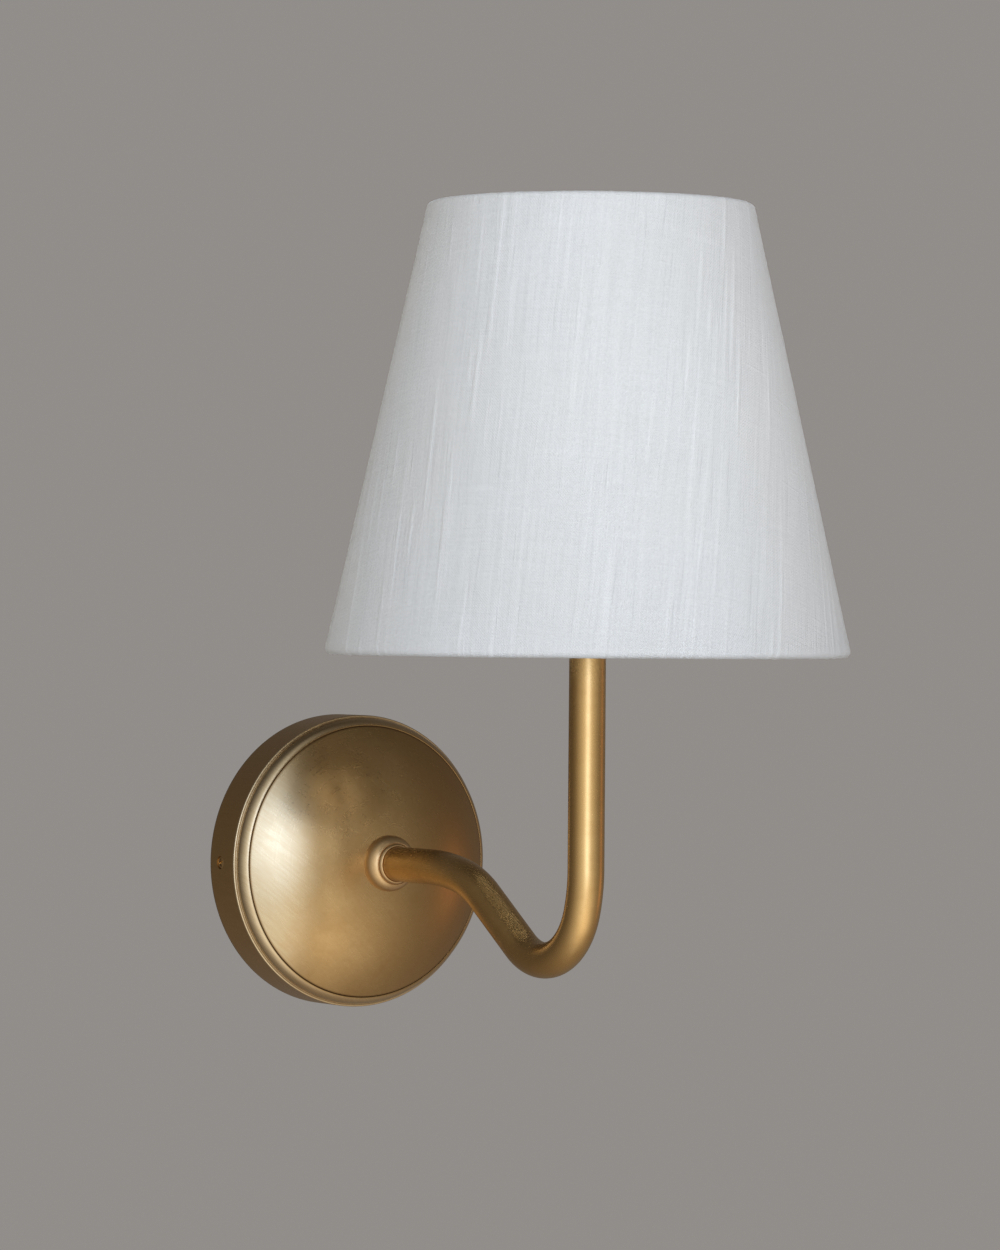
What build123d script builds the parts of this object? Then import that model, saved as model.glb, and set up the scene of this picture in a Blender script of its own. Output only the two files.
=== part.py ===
from build123d import *
import os
from math import sin, cos, tan, radians, degrees, sqrt, pi, atan2

# Wall light: a spun brass backplate on a steel bracket, a fixed swan neck arm,
# an upright E14 lampholder and an empire shade.  Millimetres, +Z up, the wall
# is the plane Y = 0 and the light stands out along -Y.  The origin is the
# centre of the backplate's back face.

os.makedirs("parts", exist_ok=True)

# ---------------------------------------------------------------- dimensions
# backplate
PLATE_R = 59.2            # outer radius of the cup
PLATE_WALL = 1.2          # spun brass thickness
SIDE_DEPTH = 18.8         # wall to the front arris
BEAD_IN_R = 55.2          # inner radius of the ovolo bead
GROOVE_R = 54.95
DOME_R0 = 54.6            # where the dome starts
DOME_Z0 = 24.21           # its depth there
DOME_SPHERE = 95.2        # sphere radius of the dome
DOME_APEX = 41.42
SIDE_SCREW_DEPTH = 8.0
SIDE_HOLE_R = 2.6

# ferrule
FER_BASE_R = 11.3
FER_FRONT = 48.0
# arm
TUBE_R = 7.0
TUBE_BORE = 6.0
PROJ = 183.0              # wall to the upright leg and the shade's axis
ARM_START = 41.6
ARM_L1 = 73.0             # straight run out of the ferrule
ARM_R0, ARM_A0 = 105.6, 12.32
ARM_R1, ARM_A1 = 47.6, 34.42
ARM_L2 = 31.15
ARM_R2, ARM_B2 = 27.94, 72.52
ARM_R3 = 55.7
TUBE_TOP = 97.0
# shade
SH_BOT_R, SH_TOP_R = 100.0, 61.8
SH_BOT_Z, SH_TOP_Z = 85.1, 256.8
FABRIC_T, LINER_T = 0.5, 0.7
WIRE_R = 1.5
HEM_R = 2.15
CARRIER_Z = 119.8
# lampholder
HOLDER_THREAD_R = 14.0
FLANGE_TOP = 119.5
# lamp
LAMP_R = 22.5
LAMP_C = 178.5


# ------------------------------------------------------------------- helpers
def out(name, shape):
    shape.label = name
    export_step(shape, "parts/%s.step" % name)


def face_from(start, segs):
    """Closed face in the XZ plane: segs are ("L", r, z) or ("A", rm, zm, r, z)."""
    edges, cur = [], Vector(start[0], 0, start[1])
    for s in segs:
        if s[0] == "L":
            nxt = Vector(s[1], 0, s[2])
            edges.append(Edge.make_line(cur, nxt))
        else:
            mid, nxt = Vector(s[1], 0, s[2]), Vector(s[3], 0, s[4])
            edges.append(Edge.make_three_point_arc(cur, mid, nxt))
        cur = nxt
    first = Vector(start[0], 0, start[1])
    if (cur - first).length > 1e-7:
        edges.append(Edge.make_line(cur, first))
    return Face(Wire(edges))


def rev(start, segs):
    """Solid of revolution about Z from an (r, z) profile."""
    return revolve(face_from(start, segs), axis=Axis.Z, revolution_arc=360)


def outward(s):
    """Turns a shape made about +Z so that +Z points away from the wall (-Y)."""
    return Rot(90, 0, 0) * s


def ring(ro, ri, z0, z1):
    return rev((ri, z0), [("L", ro, z0), ("L", ro, z1), ("L", ri, z1)])


def disc(r, z0, z1):
    return rev((0, z0), [("L", r, z0), ("L", r, z1), ("L", 0, z1)])


def at_axis(s, z=0.0):
    return Pos(0, -PROJ, z) * s


def wave(r, amp, z0, pitch, n, down=False):
    """Arc segments of a rounded thread flank, crests and roots in turn."""
    segs = []
    zs = [z0 + i * pitch / 2 for i in range(2 * n + 1)]
    sign = [1 if i % 2 == 0 else -1 for i in range(2 * n)]
    pairs = list(zip(zs[:-1], zs[1:], sign))
    if down:
        pairs = [(b, a, s) for a, b, s in reversed(pairs)]
    for a, b, s in pairs:
        segs.append(("A", r + s * amp, (a + b) / 2, r, b))
    return segs


def grooved(rc, rr, z0, pitch, n):
    """Line segments of a V thread drawn as closed rings, going up in z."""
    segs = []
    for i in range(n):
        z = z0 + i * pitch
        segs += [("L", rc, z + 0.12 * pitch), ("L", rc, z + 0.42 * pitch),
                 ("L", rr, z + 0.77 * pitch), ("L", rr, z + pitch)]
    return segs


def sphere_z(r, radius, apex):
    """Depth at radius r on a sphere whose apex is on the axis."""
    return apex - radius + sqrt(radius * radius - r * r)


def swept(path, r):
    w = Wire(path.edges()) if not isinstance(path, Wire) else path
    pl = Plane(origin=w @ 0, z_dir=w % 0)
    return sweep(pl * Circle(r), path=w)


# ---------------------------------------------------------------- wall bracket
# Strap flat on the wall with two tabs turned out at its ends and a lug under
# the middle for the terminal block.
BR_T = 2.0
BR_HALF = 56.9
BR_H = 12.0
TAB_DEPTH = 14.0
FIX_SPACING = 50.8
FIX_W = 4.5
FIX_LEN = 9.0
CABLE_HOLE_R = 8.0
strap = Pos(0, -BR_T / 2, 0) * Box(2 * BR_HALF, BR_T, 2 * BR_H)
lug = Pos(0, -BR_T / 2, -27.0) * Box(36, BR_T, 32)
lug = fillet(lug.edges().filter_by(Axis.Y).group_by(Axis.Z)[0], 4.0)
bracket = strap + lug
for sx in (-1, 1):
    tab = Pos(sx * (BR_HALF - BR_T / 2), -TAB_DEPTH / 2, 0) * Box(BR_T, TAB_DEPTH, 2 * 7.0)
    tab = fillet(tab.edges().filter_by(Axis.X).group_by(Axis.Y)[0], 3.0)
    shoulder = Pos(sx * (BR_HALF - 3.0), -BR_T / 2, 0) * (
        Box(6.2, BR_T + 2, 2 * BR_H + 2) - Box(8, BR_T + 4, 14.0))
    bracket = bracket - shoulder + tab
    bracket = bracket - Pos(sx * FIX_SPACING / 2, -BR_T / 2, 0) * Rot(90, 0, 0) * extrude(
        SlotOverall(FIX_LEN, FIX_W), 3, both=True)
bracket = bracket - Pos(0, -BR_T / 2, 0) * Rot(90, 0, 0) * Cylinder(CABLE_HOLE_R, 6)
# tapped holes for the side screws, earth screw and the block's screw
for sx in (-1, 1):
    bracket = bracket - Pos(sx * BR_HALF, -SIDE_SCREW_DEPTH, 0) * Rot(0, 90, 0) * Cylinder(1.80, 12)
EARTH_X = 41.0
BLOCK_Z = -27.0
bracket = bracket - Pos(EARTH_X, -1, 0) * Rot(90, 0, 0) * Cylinder(1.95, 6)
for x in (-5.0, 5.0):
    bracket = bracket - Pos(x, -1, BLOCK_Z) * Rot(90, 0, 0) * Cylinder(1.4, 6)
inner_bend = [e for e in bracket.edges().filter_by(Axis.Z)
              if abs(abs(e.center().X) - (BR_HALF - BR_T)) < 0.01 and abs(e.center().Y + BR_T) < 0.01]
outer_bend = [e for e in bracket.edges().filter_by(Axis.Z)
              if abs(abs(e.center().X) - BR_HALF) < 0.01 and abs(e.center().Y) < 0.01]
try:
    b2 = fillet(inner_bend, 1.0)
    bracket = b2
except Exception as err:
    print("inner bend left sharp", err)
try:
    bracket = fillet([e for e in bracket.edges().filter_by(Axis.Z)
                      if abs(abs(e.center().X) - BR_HALF) < 0.01 and abs(e.center().Y) < 0.01], 2.0)
except Exception as err:
    print("outer bend left sharp", err)
out("wall_bracket", bracket)


def pan_screw(shank_r, shank_len, head_r, head_h, slot=True):
    """Pan head screw, head on +Z, shank from z = 0 down."""
    s = rev((0, -shank_len), [("L", shank_r - 0.35, -shank_len), ("L", shank_r, -shank_len + 0.5),
                              ("L", shank_r, 0), ("L", head_r, 0),
                              ("L", head_r, head_h * 0.45),
                              ("A", head_r * 0.86, head_h * 0.82, head_r * 0.5, head_h),
                              ("L", 0, head_h)])
    if slot:
        s = s - Pos(0, 0, head_h) * Box(2 * head_r + 1, head_r * 0.28, head_h * 0.9)
    return s


# earth screw with its washer and ring lug, on the strap
WASH_T = 0.8
LUG_T = 0.8
earth_washer = outward(Pos(0, 0, BR_T) * ring(4.2, 2.1, 0, WASH_T))
out("earth_washer", Pos(EARTH_X, 0, 0) * earth_washer)
eye = ring(4.0, 2.1, 0, LUG_T)
barrel_z = 1.45
neck = Pos(-5.6, 0, LUG_T / 2) * Box(4.4, 3.2, LUG_T)
neck = neck - Cylinder(2.2, 6)
crimp = Pos(-9.9, 0, barrel_z) * Rot(0, 90, 0) * (Cylinder(1.45, 5.0) - Cylinder(1.0, 6.0))
lug_z = BR_T + WASH_T
ring_lug = Pos(EARTH_X, 0, 0) * outward(Pos(0, 0, lug_z) * (eye + neck + crimp))
out("earth_ring_lug", ring_lug)
out("earth_screw", Pos(EARTH_X, 0, 0) * outward(Pos(0, 0, lug_z + LUG_T) * pan_screw(1.95, 5.6, 3.9, 2.6)))

# terminal block on the lug: three ways along X, wires enter top and bottom
TB_W, TB_H, TB_D = 30.0, 17.0, 13.0
block = Pos(0, -BR_T - TB_D / 2, BLOCK_Z) * Box(TB_W, TB_D, TB_H)
block = fillet(block.edges().filter_by(Axis.Y), 1.2)
WAYS = (-10.0, 0.0, 10.0)
WAY_Y = -BR_T - 6.0
for x in WAYS:
    block = block - Pos(x, WAY_Y, BLOCK_Z) * Cylinder(2.6, TB_H + 4)
    for dz in (-4.6, 4.6):
        block = block - Pos(x, -BR_T - TB_D, BLOCK_Z + dz) * Rot(90, 0, 0) * Cylinder(2.1, 2 * (TB_D - 4.0))
for x in (-5.0, 5.0):
    block = block - Pos(x, -BR_T - TB_D, BLOCK_Z) * Box(1.4, 10.0, TB_H + 2)
    block = block - Pos(x, -BR_T - TB_D / 2, BLOCK_Z) * Rot(90, 0, 0) * Cylinder(1.65, TB_D + 4)
    block = block - Pos(x, -BR_T - 8.0 - 5.0, BLOCK_Z) * Rot(90, 0, 0) * Cylinder(3.0, 10.0)
out("terminal_block", block)
barrels, tscrews = [], []
for x in WAYS:
    b = Pos(x, WAY_Y, BLOCK_Z) * (Cylinder(2.55, 14.0) - Cylinder(1.5, 16.0))
    for dz in (-4.6, 4.6):
        b = b - Pos(x, WAY_Y - 2.5, BLOCK_Z + dz) * Rot(90, 0, 0) * Cylinder(1.3, 5.0)
        tscrews.append(Pos(x, 0, BLOCK_Z + dz) * outward(
            Pos(0, 0, -WAY_Y + 2.75) * pan_screw(1.25, 1.9, 1.95, 1.5)))
    barrels.append(b)
out("terminal_barrels", Compound(children=barrels))
out("terminal_screws", Compound(children=tscrews))
# two screws hold the block to the lug
BS_SEAT = BR_T + 8.0
bscrews = [Pos(x, 0, BLOCK_Z) * outward(Pos(0, 0, BS_SEAT) * pan_screw(1.4, 9.6, 2.7, 1.8)) for x in (-5.0, 5.0)]
out("terminal_block_screws", Compound(children=bscrews))

# -------------------------------------------------------------------- backplate
# Spun cup: straight side, sharp rounded arris with a narrow land, ovolo bead,
# fine groove, shallow dome.
HOLE_R = 5.2
ZI = DOME_APEX - DOME_SPHERE
o = sphere_z


def dome_mid(r0, r1, rad, apex):
    rm = (r0 + r1) / 2
    return rm, o(rm, rad, apex)


m1 = dome_mid(DOME_R0, HOLE_R, DOME_SPHERE, DOME_APEX)
RI = DOME_SPHERE - PLATE_WALL
AI = DOME_APEX - PLATE_WALL
m2 = dome_mid(HOLE_R, 53.6, RI, AI)
plate = rev((PLATE_R - PLATE_WALL, 0), [
    ("L", PLATE_R - 0.15, 0), ("L", PLATE_R, 0.2),
    ("L", PLATE_R, SIDE_DEPTH - 0.45),
    ("A", PLATE_R - 0.13, SIDE_DEPTH - 0.13, PLATE_R - 0.45, SIDE_DEPTH),
    ("L", 58.45, SIDE_DEPTH + 0.02),
    ("A", 58.12, SIDE_DEPTH - 0.05, 57.95, SIDE_DEPTH + 0.25),
    ("A", 57.35, SIDE_DEPTH + 3.15, BEAD_IN_R + 0.25, SIDE_DEPTH + 5.15),
    ("A", BEAD_IN_R, SIDE_DEPTH + 5.15, GROOVE_R, SIDE_DEPTH + 4.95),
    ("A", GROOVE_R - 0.12, SIDE_DEPTH + 5.2, DOME_R0, o(DOME_R0, DOME_SPHERE, DOME_APEX)),
    ("A", m1[0], m1[1], HOLE_R, o(HOLE_R, DOME_SPHERE, DOME_APEX)),
    ("L", HOLE_R, o(HOLE_R, RI, AI)),
    ("A", m2[0], m2[1], 53.6, o(53.6, RI, AI)),
    ("A", 55.9, SIDE_DEPTH + 2.5, 56.75, SIDE_DEPTH - 1.2),
    ("A", 57.75, SIDE_DEPTH - 1.55, PLATE_R - PLATE_WALL, SIDE_DEPTH - 2.2),
])
plate = outward(plate)
for sx in (-1, 1):
    plate = plate - Pos(sx * PLATE_R, -SIDE_SCREW_DEPTH, 0) * Rot(0, 90, 0) * Cylinder(SIDE_HOLE_R, 8)
out("backplate", plate)

# side screws: cross recess, head flush in the plate's hole, shank in the tab
SS_HEAD_R = 2.53
ss = rev((0, -7.0), [("L", 1.35, -7.0), ("L", 1.75, -6.5), ("L", 1.75, 0), ("L", 1.75, 0.25),
                     ("L", SS_HEAD_R, 0.9), ("L", SS_HEAD_R, 1.5),
                     ("A", SS_HEAD_R * 0.7, 1.78, 0, 1.88)])
for a in (20, 110):
    ss = ss - Pos(0, 0, 1.9) * Rot(0, 0, a) * Box(3.3, 0.62, 1.7)
ss = ss - Pos(0, 0, 1.9) * Cylinder(0.62, 2.2)
# the tab's outer face is at BR_HALF, the head starts 0.3 clear of it
out("side_screw_left", Pos(-(BR_HALF + 0.3), -SIDE_SCREW_DEPTH, 0) * Rot(0, -90, 0) * ss)
out("side_screw_right", Pos(BR_HALF + 0.3, -SIDE_SCREW_DEPTH, 0) * Rot(0, 90, 0) * ss)

# ---------------------------------------------------------------------- ferrule
fz = o(FER_BASE_R, DOME_SPHERE, DOME_APEX) + 0.02
fi = o(TUBE_R, DOME_SPHERE, DOME_APEX) + 0.02
fm = o(9.1, DOME_SPHERE, DOME_APEX) + 0.02
ferrule = rev((TUBE_R + 0.03, fi), [
    ("A", 9.1, fm, FER_BASE_R - 0.1, fz),
    ("L", FER_BASE_R, fz + 0.25),
    ("A", 10.95, 43.6, 8.75, 46.35),
    ("A", 8.45, 46.45, 8.35, 46.25),
    ("A", 8.2, 46.15, 8.1, 46.3),
    ("A", 8.0, 47.2, 7.65, 47.75),
    ("A", 7.4, 47.95, TUBE_R + 0.03, 47.7),
])
out("arm_ferrule", outward(ferrule))


# -------------------------------------------------------------------------- arm
def arm_edges(start_u, top_z):
    """Centreline in the plane X = 0, as edges; u is the distance from the wall."""
    edges = []
    state = {"u": start_u, "z": 0.0}

    def p(u, z):
        return Vector(0, -u, z)

    def straight_to(u, z):
        edges.append(Edge.make_line(p(state["u"], state["z"]), p(u, z)))
        state["u"], state["z"] = u, z

    def bend(r, a0, a1):
        # heading in degrees below the horizontal, outwards
        s = 1 if a1 > a0 else -1
        cu = state["u"] - s * r * sin(radians(a0))
        cz = state["z"] - s * r * cos(radians(a0))

        def on(a):
            return cu + s * r * sin(radians(a)), cz + s * r * cos(radians(a))
        m, e = on((a0 + a1) / 2), on(a1)
        edges.append(Edge.make_three_point_arc(p(state["u"], state["z"]), p(*m), p(*e)))
        state["u"], state["z"] = e

    straight_to(ARM_L1, 0.0)
    bend(ARM_R0, 0.0, ARM_A0)
    bend(ARM_R1, ARM_A0, ARM_A1)
    straight_to(state["u"] + ARM_L2 * cos(radians(ARM_A1)), state["z"] - ARM_L2 * sin(radians(ARM_A1)))
    bend(ARM_R2, ARM_A1, -ARM_B2)
    bend(ARM_R3, -ARM_B2, -90.0)
    print("leg at u =", round(state["u"], 3), "wanted", PROJ, "straight from z =", round(state["z"], 2))
    return edges, state, p


def arm_wire(start_u, top_z):
    edges, state, p = arm_edges(start_u, top_z)
    # the leg stands exactly on the shade's axis: the last few hundredths go into the straight run
    shift = PROJ - state["u"]
    if abs(shift) > 1e-9:
        moved = [edges[0]] + [e.moved(Location((0, -shift, 0))) for e in edges[1:]]
        first = Edge.make_line(edges[0] @ 0, (edges[0] @ 1) + Vector(0, -shift, 0))
        edges = [first] + moved[1:]
    edges.append(Edge.make_line(p(PROJ, state["z"]), p(PROJ, top_z)))
    return Wire(edges)


arm_path = arm_wire(ARM_START, TUBE_TOP)
arm = swept(arm_path, TUBE_R) - swept(arm_wire(ARM_START - 1, TUBE_TOP + 1), TUBE_BORE)
print("arm length along its centreline", round(arm_path.length, 1), "volume", round(arm.volume, 1),
      "section x length", round(pi * (TUBE_R ** 2 - TUBE_BORE ** 2) * arm_path.length, 1))
out("arm_tube", arm)

# threaded bush brazed in the arm's wall end, hollow M10 nipple through the dome
NIP_R, NIP_BORE = 5.0, 3.5
out("arm_root_bush", outward(ring(TUBE_BORE, NIP_R, ARM_START, 53.0)))
nip = rev((NIP_BORE, 29.0), [("L", NIP_R - 0.5, 29.0), ("L", NIP_R, 29.5), ("L", NIP_R, 54.5),
                             ("L", NIP_R - 0.5, 55.0), ("L", NIP_BORE, 55.0)])
out("arm_nipple", outward(nip))
PL_TOP = o(16.0, RI, AI) - 0.02
out("arm_backing_plate", outward(ring(16.0, NIP_R + 0.1, PL_TOP - 2.0, PL_TOP)))
wz = PL_TOP - 2.0
wash = ring(9.0, NIP_R + 0.1, wz - 1.0, wz)
for i in range(18):
    wash = wash - Rot(0, 0, 20 * i) * (Pos(9.1, 0, wz - 0.5) * Rot(25, 0, 0) * Box(2.4, 0.7, 3.0))
out("arm_washer", outward(wash))
nz = wz - 1.0
nut = Pos(0, 0, nz - 4.0) * extrude(RegularPolygon(7.0, 6, major_radius=False), 4.0)
nut = nut & rev((0, nz - 4.2), [("L", 7.3, nz - 4.2), ("L", 8.4, nz - 3.6), ("L", 8.4, nz - 0.4),
                                ("L", 7.3, nz + 0.2), ("L", 0, nz + 0.2)])
nut = nut - Pos(0, 0, nz - 2) * Cylinder(NIP_R, 8)
out("arm_nut", outward(nut))
# plastic bush that keeps the flex off the nipple's edge
FLEX_R = 2.8
bush = rev((FLEX_R + 0.1, 25.2), [("L", 5.3, 25.2), ("A", 6.0, 25.9, 6.0, 26.8), ("L", 6.0, 28.95),
                                  ("L", NIP_BORE - 0.05, 28.95), ("L", NIP_BORE - 0.05, 32.0),
                                  ("L", FLEX_R + 0.1, 32.0)])
out("cable_bush", outward(bush))
# round three-core flex through the arm
flex = swept(arm_wire(22.0, 103.6), FLEX_R)
out("arm_flex", flex)

# cores from the flex down to the terminal block
CORE_R = 1.05
FAN = {"live_wire": -10.0, "neutral_wire": 0.0, "earth_wire": 10.0}
SRC = {"live_wire": (-1.25, 0.75), "neutral_wire": (0.0, -1.45), "earth_wire": (1.25, 0.75)}
for name, xw in FAN.items():
    sx, sz = SRC[name]
    top = BLOCK_Z + TB_H / 2
    if name == "neutral_wire":
        pts = [(sx, -22.0, sz), (sx, -16.5, sz - 0.6), (xw, WAY_Y - 1.2, -7.5), (xw, WAY_Y, -13.5), (xw, WAY_Y, top - 6.4)]
    else:
        pts = [(sx, -22.0, sz), (sx * 1.6, -15.5, sz), (xw * 0.82, WAY_Y - 2.4, -4.0), (xw, WAY_Y, -12.0), (xw, WAY_Y, top - 6.4)]
    v = [Vector(*q) for q in pts]
    radii = []
    for i in range(1, len(v) - 1):
        a, b = v[i] - v[i - 1], v[i + 1] - v[i]
        t = radians(a.get_angle(b))
        radii.append(round(0.45 * min(a.length, b.length) / tan(t / 2), 3))
    print(name, "radii", radii)
    w = Wire(FilletPolyline(*v, radius=radii).edges())
    s = swept(w, CORE_R)
    print(name, "volume", round(s.volume, 1), "expected", round(pi * CORE_R ** 2 * w.length, 1))
    out(name, s)
# short earth lead from the block's third way to the ring lug
top = BLOCK_Z - TB_H / 2
lug_end = (EARTH_X - 12.4 + 1.2, -(lug_z + barrel_z), 0.0)
pts = [(10.0, WAY_Y, top + 6.4), (10.0, WAY_Y, top - 4.0), (17.0, WAY_Y - 1.0, top - 6.5),
       (23.0, WAY_Y, -34.0), (23.0, WAY_Y, -22.0), (20.8, WAY_Y, -9.0), (22.4, -(lug_z + barrel_z) - 1.0, 0.0), lug_end]
v = [Vector(*q) for q in pts]
radii = []
for i in range(1, len(v) - 1):
    a, b = v[i] - v[i - 1], v[i + 1] - v[i]
    t = radians(a.get_angle(b))
    radii.append(round(0.45 * min(a.length, b.length) / tan(t / 2), 3))
print("earth_lead radii", radii)
w = Wire(FilletPolyline(*v, radius=radii).edges())
s = swept(w, 0.98)
print("earth_lead volume", round(s.volume, 1), "expected", round(pi * 0.98 ** 2 * w.length, 1))
out("earth_lead", s)

# -------------------------------------------------------------------- lampholder
out("arm_top_bush", at_axis(ring(TUBE_BORE, NIP_R, 87.0, TUBE_TOP)))
hn = rev((NIP_BORE, 86.0), [("L", NIP_R - 0.5, 86.0), ("L", NIP_R, 86.5), ("L", NIP_R, 103.0),
                            ("L", NIP_R - 0.5, 103.5), ("L", NIP_BORE, 103.5)])
out("lampholder_nipple", at_axis(hn))
# cap: a small turned dome that screws to the skirt
cap = rev((NIP_R + 0.05, 97.05), [
    ("L", 8.2, 97.05), ("A", 8.6, 97.2, 8.75, 97.6),
    ("A", 11.9, 100.3, 13.6, 104.6), ("L", 13.6, 105.6), ("L", 14.3, 106.0), ("L", 14.3, 112.0),
    ("L", 13.1, 112.0), ("L", 13.1, 106.2), ("L", 12.4, 105.2),
    ("A", 10.9, 101.6, 8.2, 99.2), ("L", NIP_R + 0.05, 99.2)])
cap = cap - Pos(0, -12.0, 109.0) * Rot(90, 0, 0) * Cylinder(1.25, 8)
out("lampholder_cap", at_axis(cap))
out("lampholder_grub_screw", at_axis(Pos(0, 0, 109.0) * outward(
    rev((0, 12.35), [("L", 0.9, 12.35), ("L", 1.2, 12.7), ("L", 1.2, 14.15), ("L", 0, 14.15)])
    - Pos(0, 0, 14.2) * Box(3, 0.4, 1.0))))
lock = Pos(0, 0, 99.25) * extrude(RegularPolygon(6.6, 6, major_radius=False), 2.6)
lock = lock - Pos(0, 0, 100.5) * Cylinder(NIP_R, 6)
out("lampholder_locknut", at_axis(lock))
# ceramic core: terminal base with two clamps, tubular socket above
core = rev((0, 106.5), [("L", 9.8, 106.5), ("L", 12.1, 108.0), ("L", 12.1, 116.0), ("L", 10.6, 116.6),
                        ("L", 10.6, 139.4), ("L", 9.0, 139.8), ("L", 8.5, 139.4), ("L", 8.5, 121.0), ("L", 0, 121.0)])
for sx in (-1, 1):
    core = core - Pos(sx * 7.2, 0, 109.5) * Box(4.4, 5.4, 6.2)
    core = core - Pos(sx * 3.2, 0, 107.0) * Cylinder(1.25, 9.0)
    core = core - Pos(sx * 2.9, 0, 107.2) * Cone(2.05, 1.2, 2.2)
    core = core - Pos(sx * 5.5, 0, 110.0) * Rot(0, 90, 0) * Cylinder(1.15, 4.6)
out("lampholder_core", at_axis(core))
clamps, hscrews, leads = [], [], []
for sx in (-1, 1):
    c = Pos(sx * 7.2, 0, 109.5) * Box(4.2, 5.2, 6.0)
    c = c - Pos(sx * 6.4, 0, 110.0) * Rot(0, 90, 0) * Cylinder(1.05, 3.2)
    c = c - Pos(sx * 7.2, 0, 107.5) * Cylinder(1.2, 3.4)
    clamps.append(c)
    hscrews.append(Pos(sx * 7.2, 0, 106.5) * Rot(180, 0, 0) * pan_screw(1.15, 1.6, 1.8, 1.1))
    v = [Vector(sx * 1.3, 0, 103.6), Vector(sx * 1.9, 0, 105.4), Vector(sx * 3.2, 0, 107.4), Vector(sx * 3.2, 0, 110.6)]
    r_ = []
    for i in (1, 2):
        a, b = v[i] - v[i - 1], v[i + 1] - v[i]
        r_.append(round(0.45 * min(a.length, b.length) / tan(radians(a.get_angle(b)) / 2), 3))
    w = Wire(FilletPolyline(*v, radius=r_).edges())
    leads.append(swept(w, 1.0))
out("lampholder_clamps", at_axis(Compound(children=clamps)))
out("lampholder_clamp_screws", at_axis(Compound(children=hscrews)))
out("lampholder_leads", at_axis(Compound(children=leads)))
# skirt with the shade shoulder and the ring thread, drawn as closed rings
SK_IN = 12.6
skirt = rev((SK_IN, 112.1), [("L", 14.3, 112.1), ("L", 14.3, 117.6), ("L", 17.6, 117.8),
                             ("A", 18.0, 118.1, 18.0, 118.4), ("L", 18.0, FLANGE_TOP), ("L", 13.5, FLANGE_TOP)]
            + grooved(HOLDER_THREAD_R, 13.35, 120.0, 2.0, 10)
            + [("L", 13.35, 140.4), ("A", 13.2, 141.2, 12.6, 141.5), ("L", 11.6, 141.5), ("L", 11.6, 140.3),
               ("L", SK_IN, 139.9)])
out("lampholder_skirt", at_axis(skirt))
# screw shell for the lamp cap, pitch 2.822
PITCH = 2.822
SHELL_Z0 = 124.0
shell = rev((7.55, 121.0), [("L", 7.55, SHELL_Z0 - 0.4)] +
            [("L", 7.35, SHELL_Z0)] + wave(7.35, 0.4, SHELL_Z0, PITCH, 5)
            + [("L", 7.35, 139.2), ("L", 7.05, 139.2)]
            + [("L", 6.62, SHELL_Z0 + 5 * PITCH)] + wave(6.62, 0.4, SHELL_Z0, PITCH, 5, down=True)
            + [("L", 6.62, 121.0)])
out("lampholder_screw_shell", at_axis(shell))
tongue = Pos(0, 0, 121.25) * Box(9.0, 4.2, 0.5)
tongue = tongue + Pos(0, 0, 121.5) * disc(2.05, 0, 1.1)
out("lampholder_contact", at_axis(tongue))

# --------------------------------------------------------------------- shade ring
SR_IN = HOLDER_THREAD_R + 0.08
sr = rev((SR_IN, 121.4), [("L", 18.2, 121.4), ("L", 18.6, 121.8), ("L", 18.6, 123.4), ("L", 16.6, 124.0),
                          ("L", 16.6, 127.4), ("L", 16.1, 127.9), ("L", SR_IN, 127.9)])
for i in range(24):
    sr = sr - Rot(0, 0, 15 * i) * Pos(18.75, 0, 122.4) * Cylinder(0.55, 4.0)
out("shade_ring", at_axis(sr))

# -------------------------------------------------------------------------- shade
SLOPE = (SH_BOT_R - SH_TOP_R) / (SH_TOP_Z - SH_BOT_Z)


def cone_r(z):
    return SH_BOT_R - SLOPE * (z - SH_BOT_Z)


k = sqrt(1 + SLOPE ** 2)
bot_c_z = SH_BOT_Z + HEM_R
bot_c_r = cone_r(bot_c_z) - HEM_R * k - 0.02
top_c_z = SH_TOP_Z - HEM_R
top_c_r = cone_r(top_c_z) - HEM_R * k - 0.02
z0, z1 = SH_BOT_Z + 2 * HEM_R + 0.08, SH_TOP_Z - 2 * HEM_R - 0.02


def cone_shell(off_out, off_in, za, zb):
    """Shell between two offsets measured in from the shade's outer cone."""
    return rev((cone_r(za) - off_in * k, za), [("L", cone_r(za) - off_out * k, za), ("L", cone_r(zb) - off_out * k, zb),
                                               ("L", cone_r(zb) - off_in * k, zb)])


out("shade_fabric", at_axis(cone_shell(0.0, FABRIC_T, z0, z1)))
out("shade_liner", at_axis(cone_shell(FABRIC_T + 0.01, FABRIC_T + 0.01 + LINER_T, z0, z1)))
# lapped joint of the fabric, 11 mm wide, at the back right, opposite the cloth's straight grain
lap = cone_shell(-0.45, -0.005, z0 + 0.3, z1 - 0.3)
wedge = Rot(0, 0, -57) * Pos(0, 90, (z0 + z1) / 2) * Box(11.0, 120, 200)
out("shade_lap", at_axis(lap & wedge))
out("shade_bottom_ring", at_axis(Pos(0, 0, bot_c_z) * Torus(bot_c_r, WIRE_R)))
out("shade_top_ring", at_axis(Pos(0, 0, top_c_z) * Torus(top_c_r, WIRE_R)))
for name, r, z in (("shade_bottom_hem", bot_c_r, bot_c_z), ("shade_top_hem", top_c_r, top_c_z)):
    hem = Pos(0, 0, z) * (Torus(r, HEM_R) - Torus(r, WIRE_R + 0.02))
    out(name, at_axis(hem))
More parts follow.
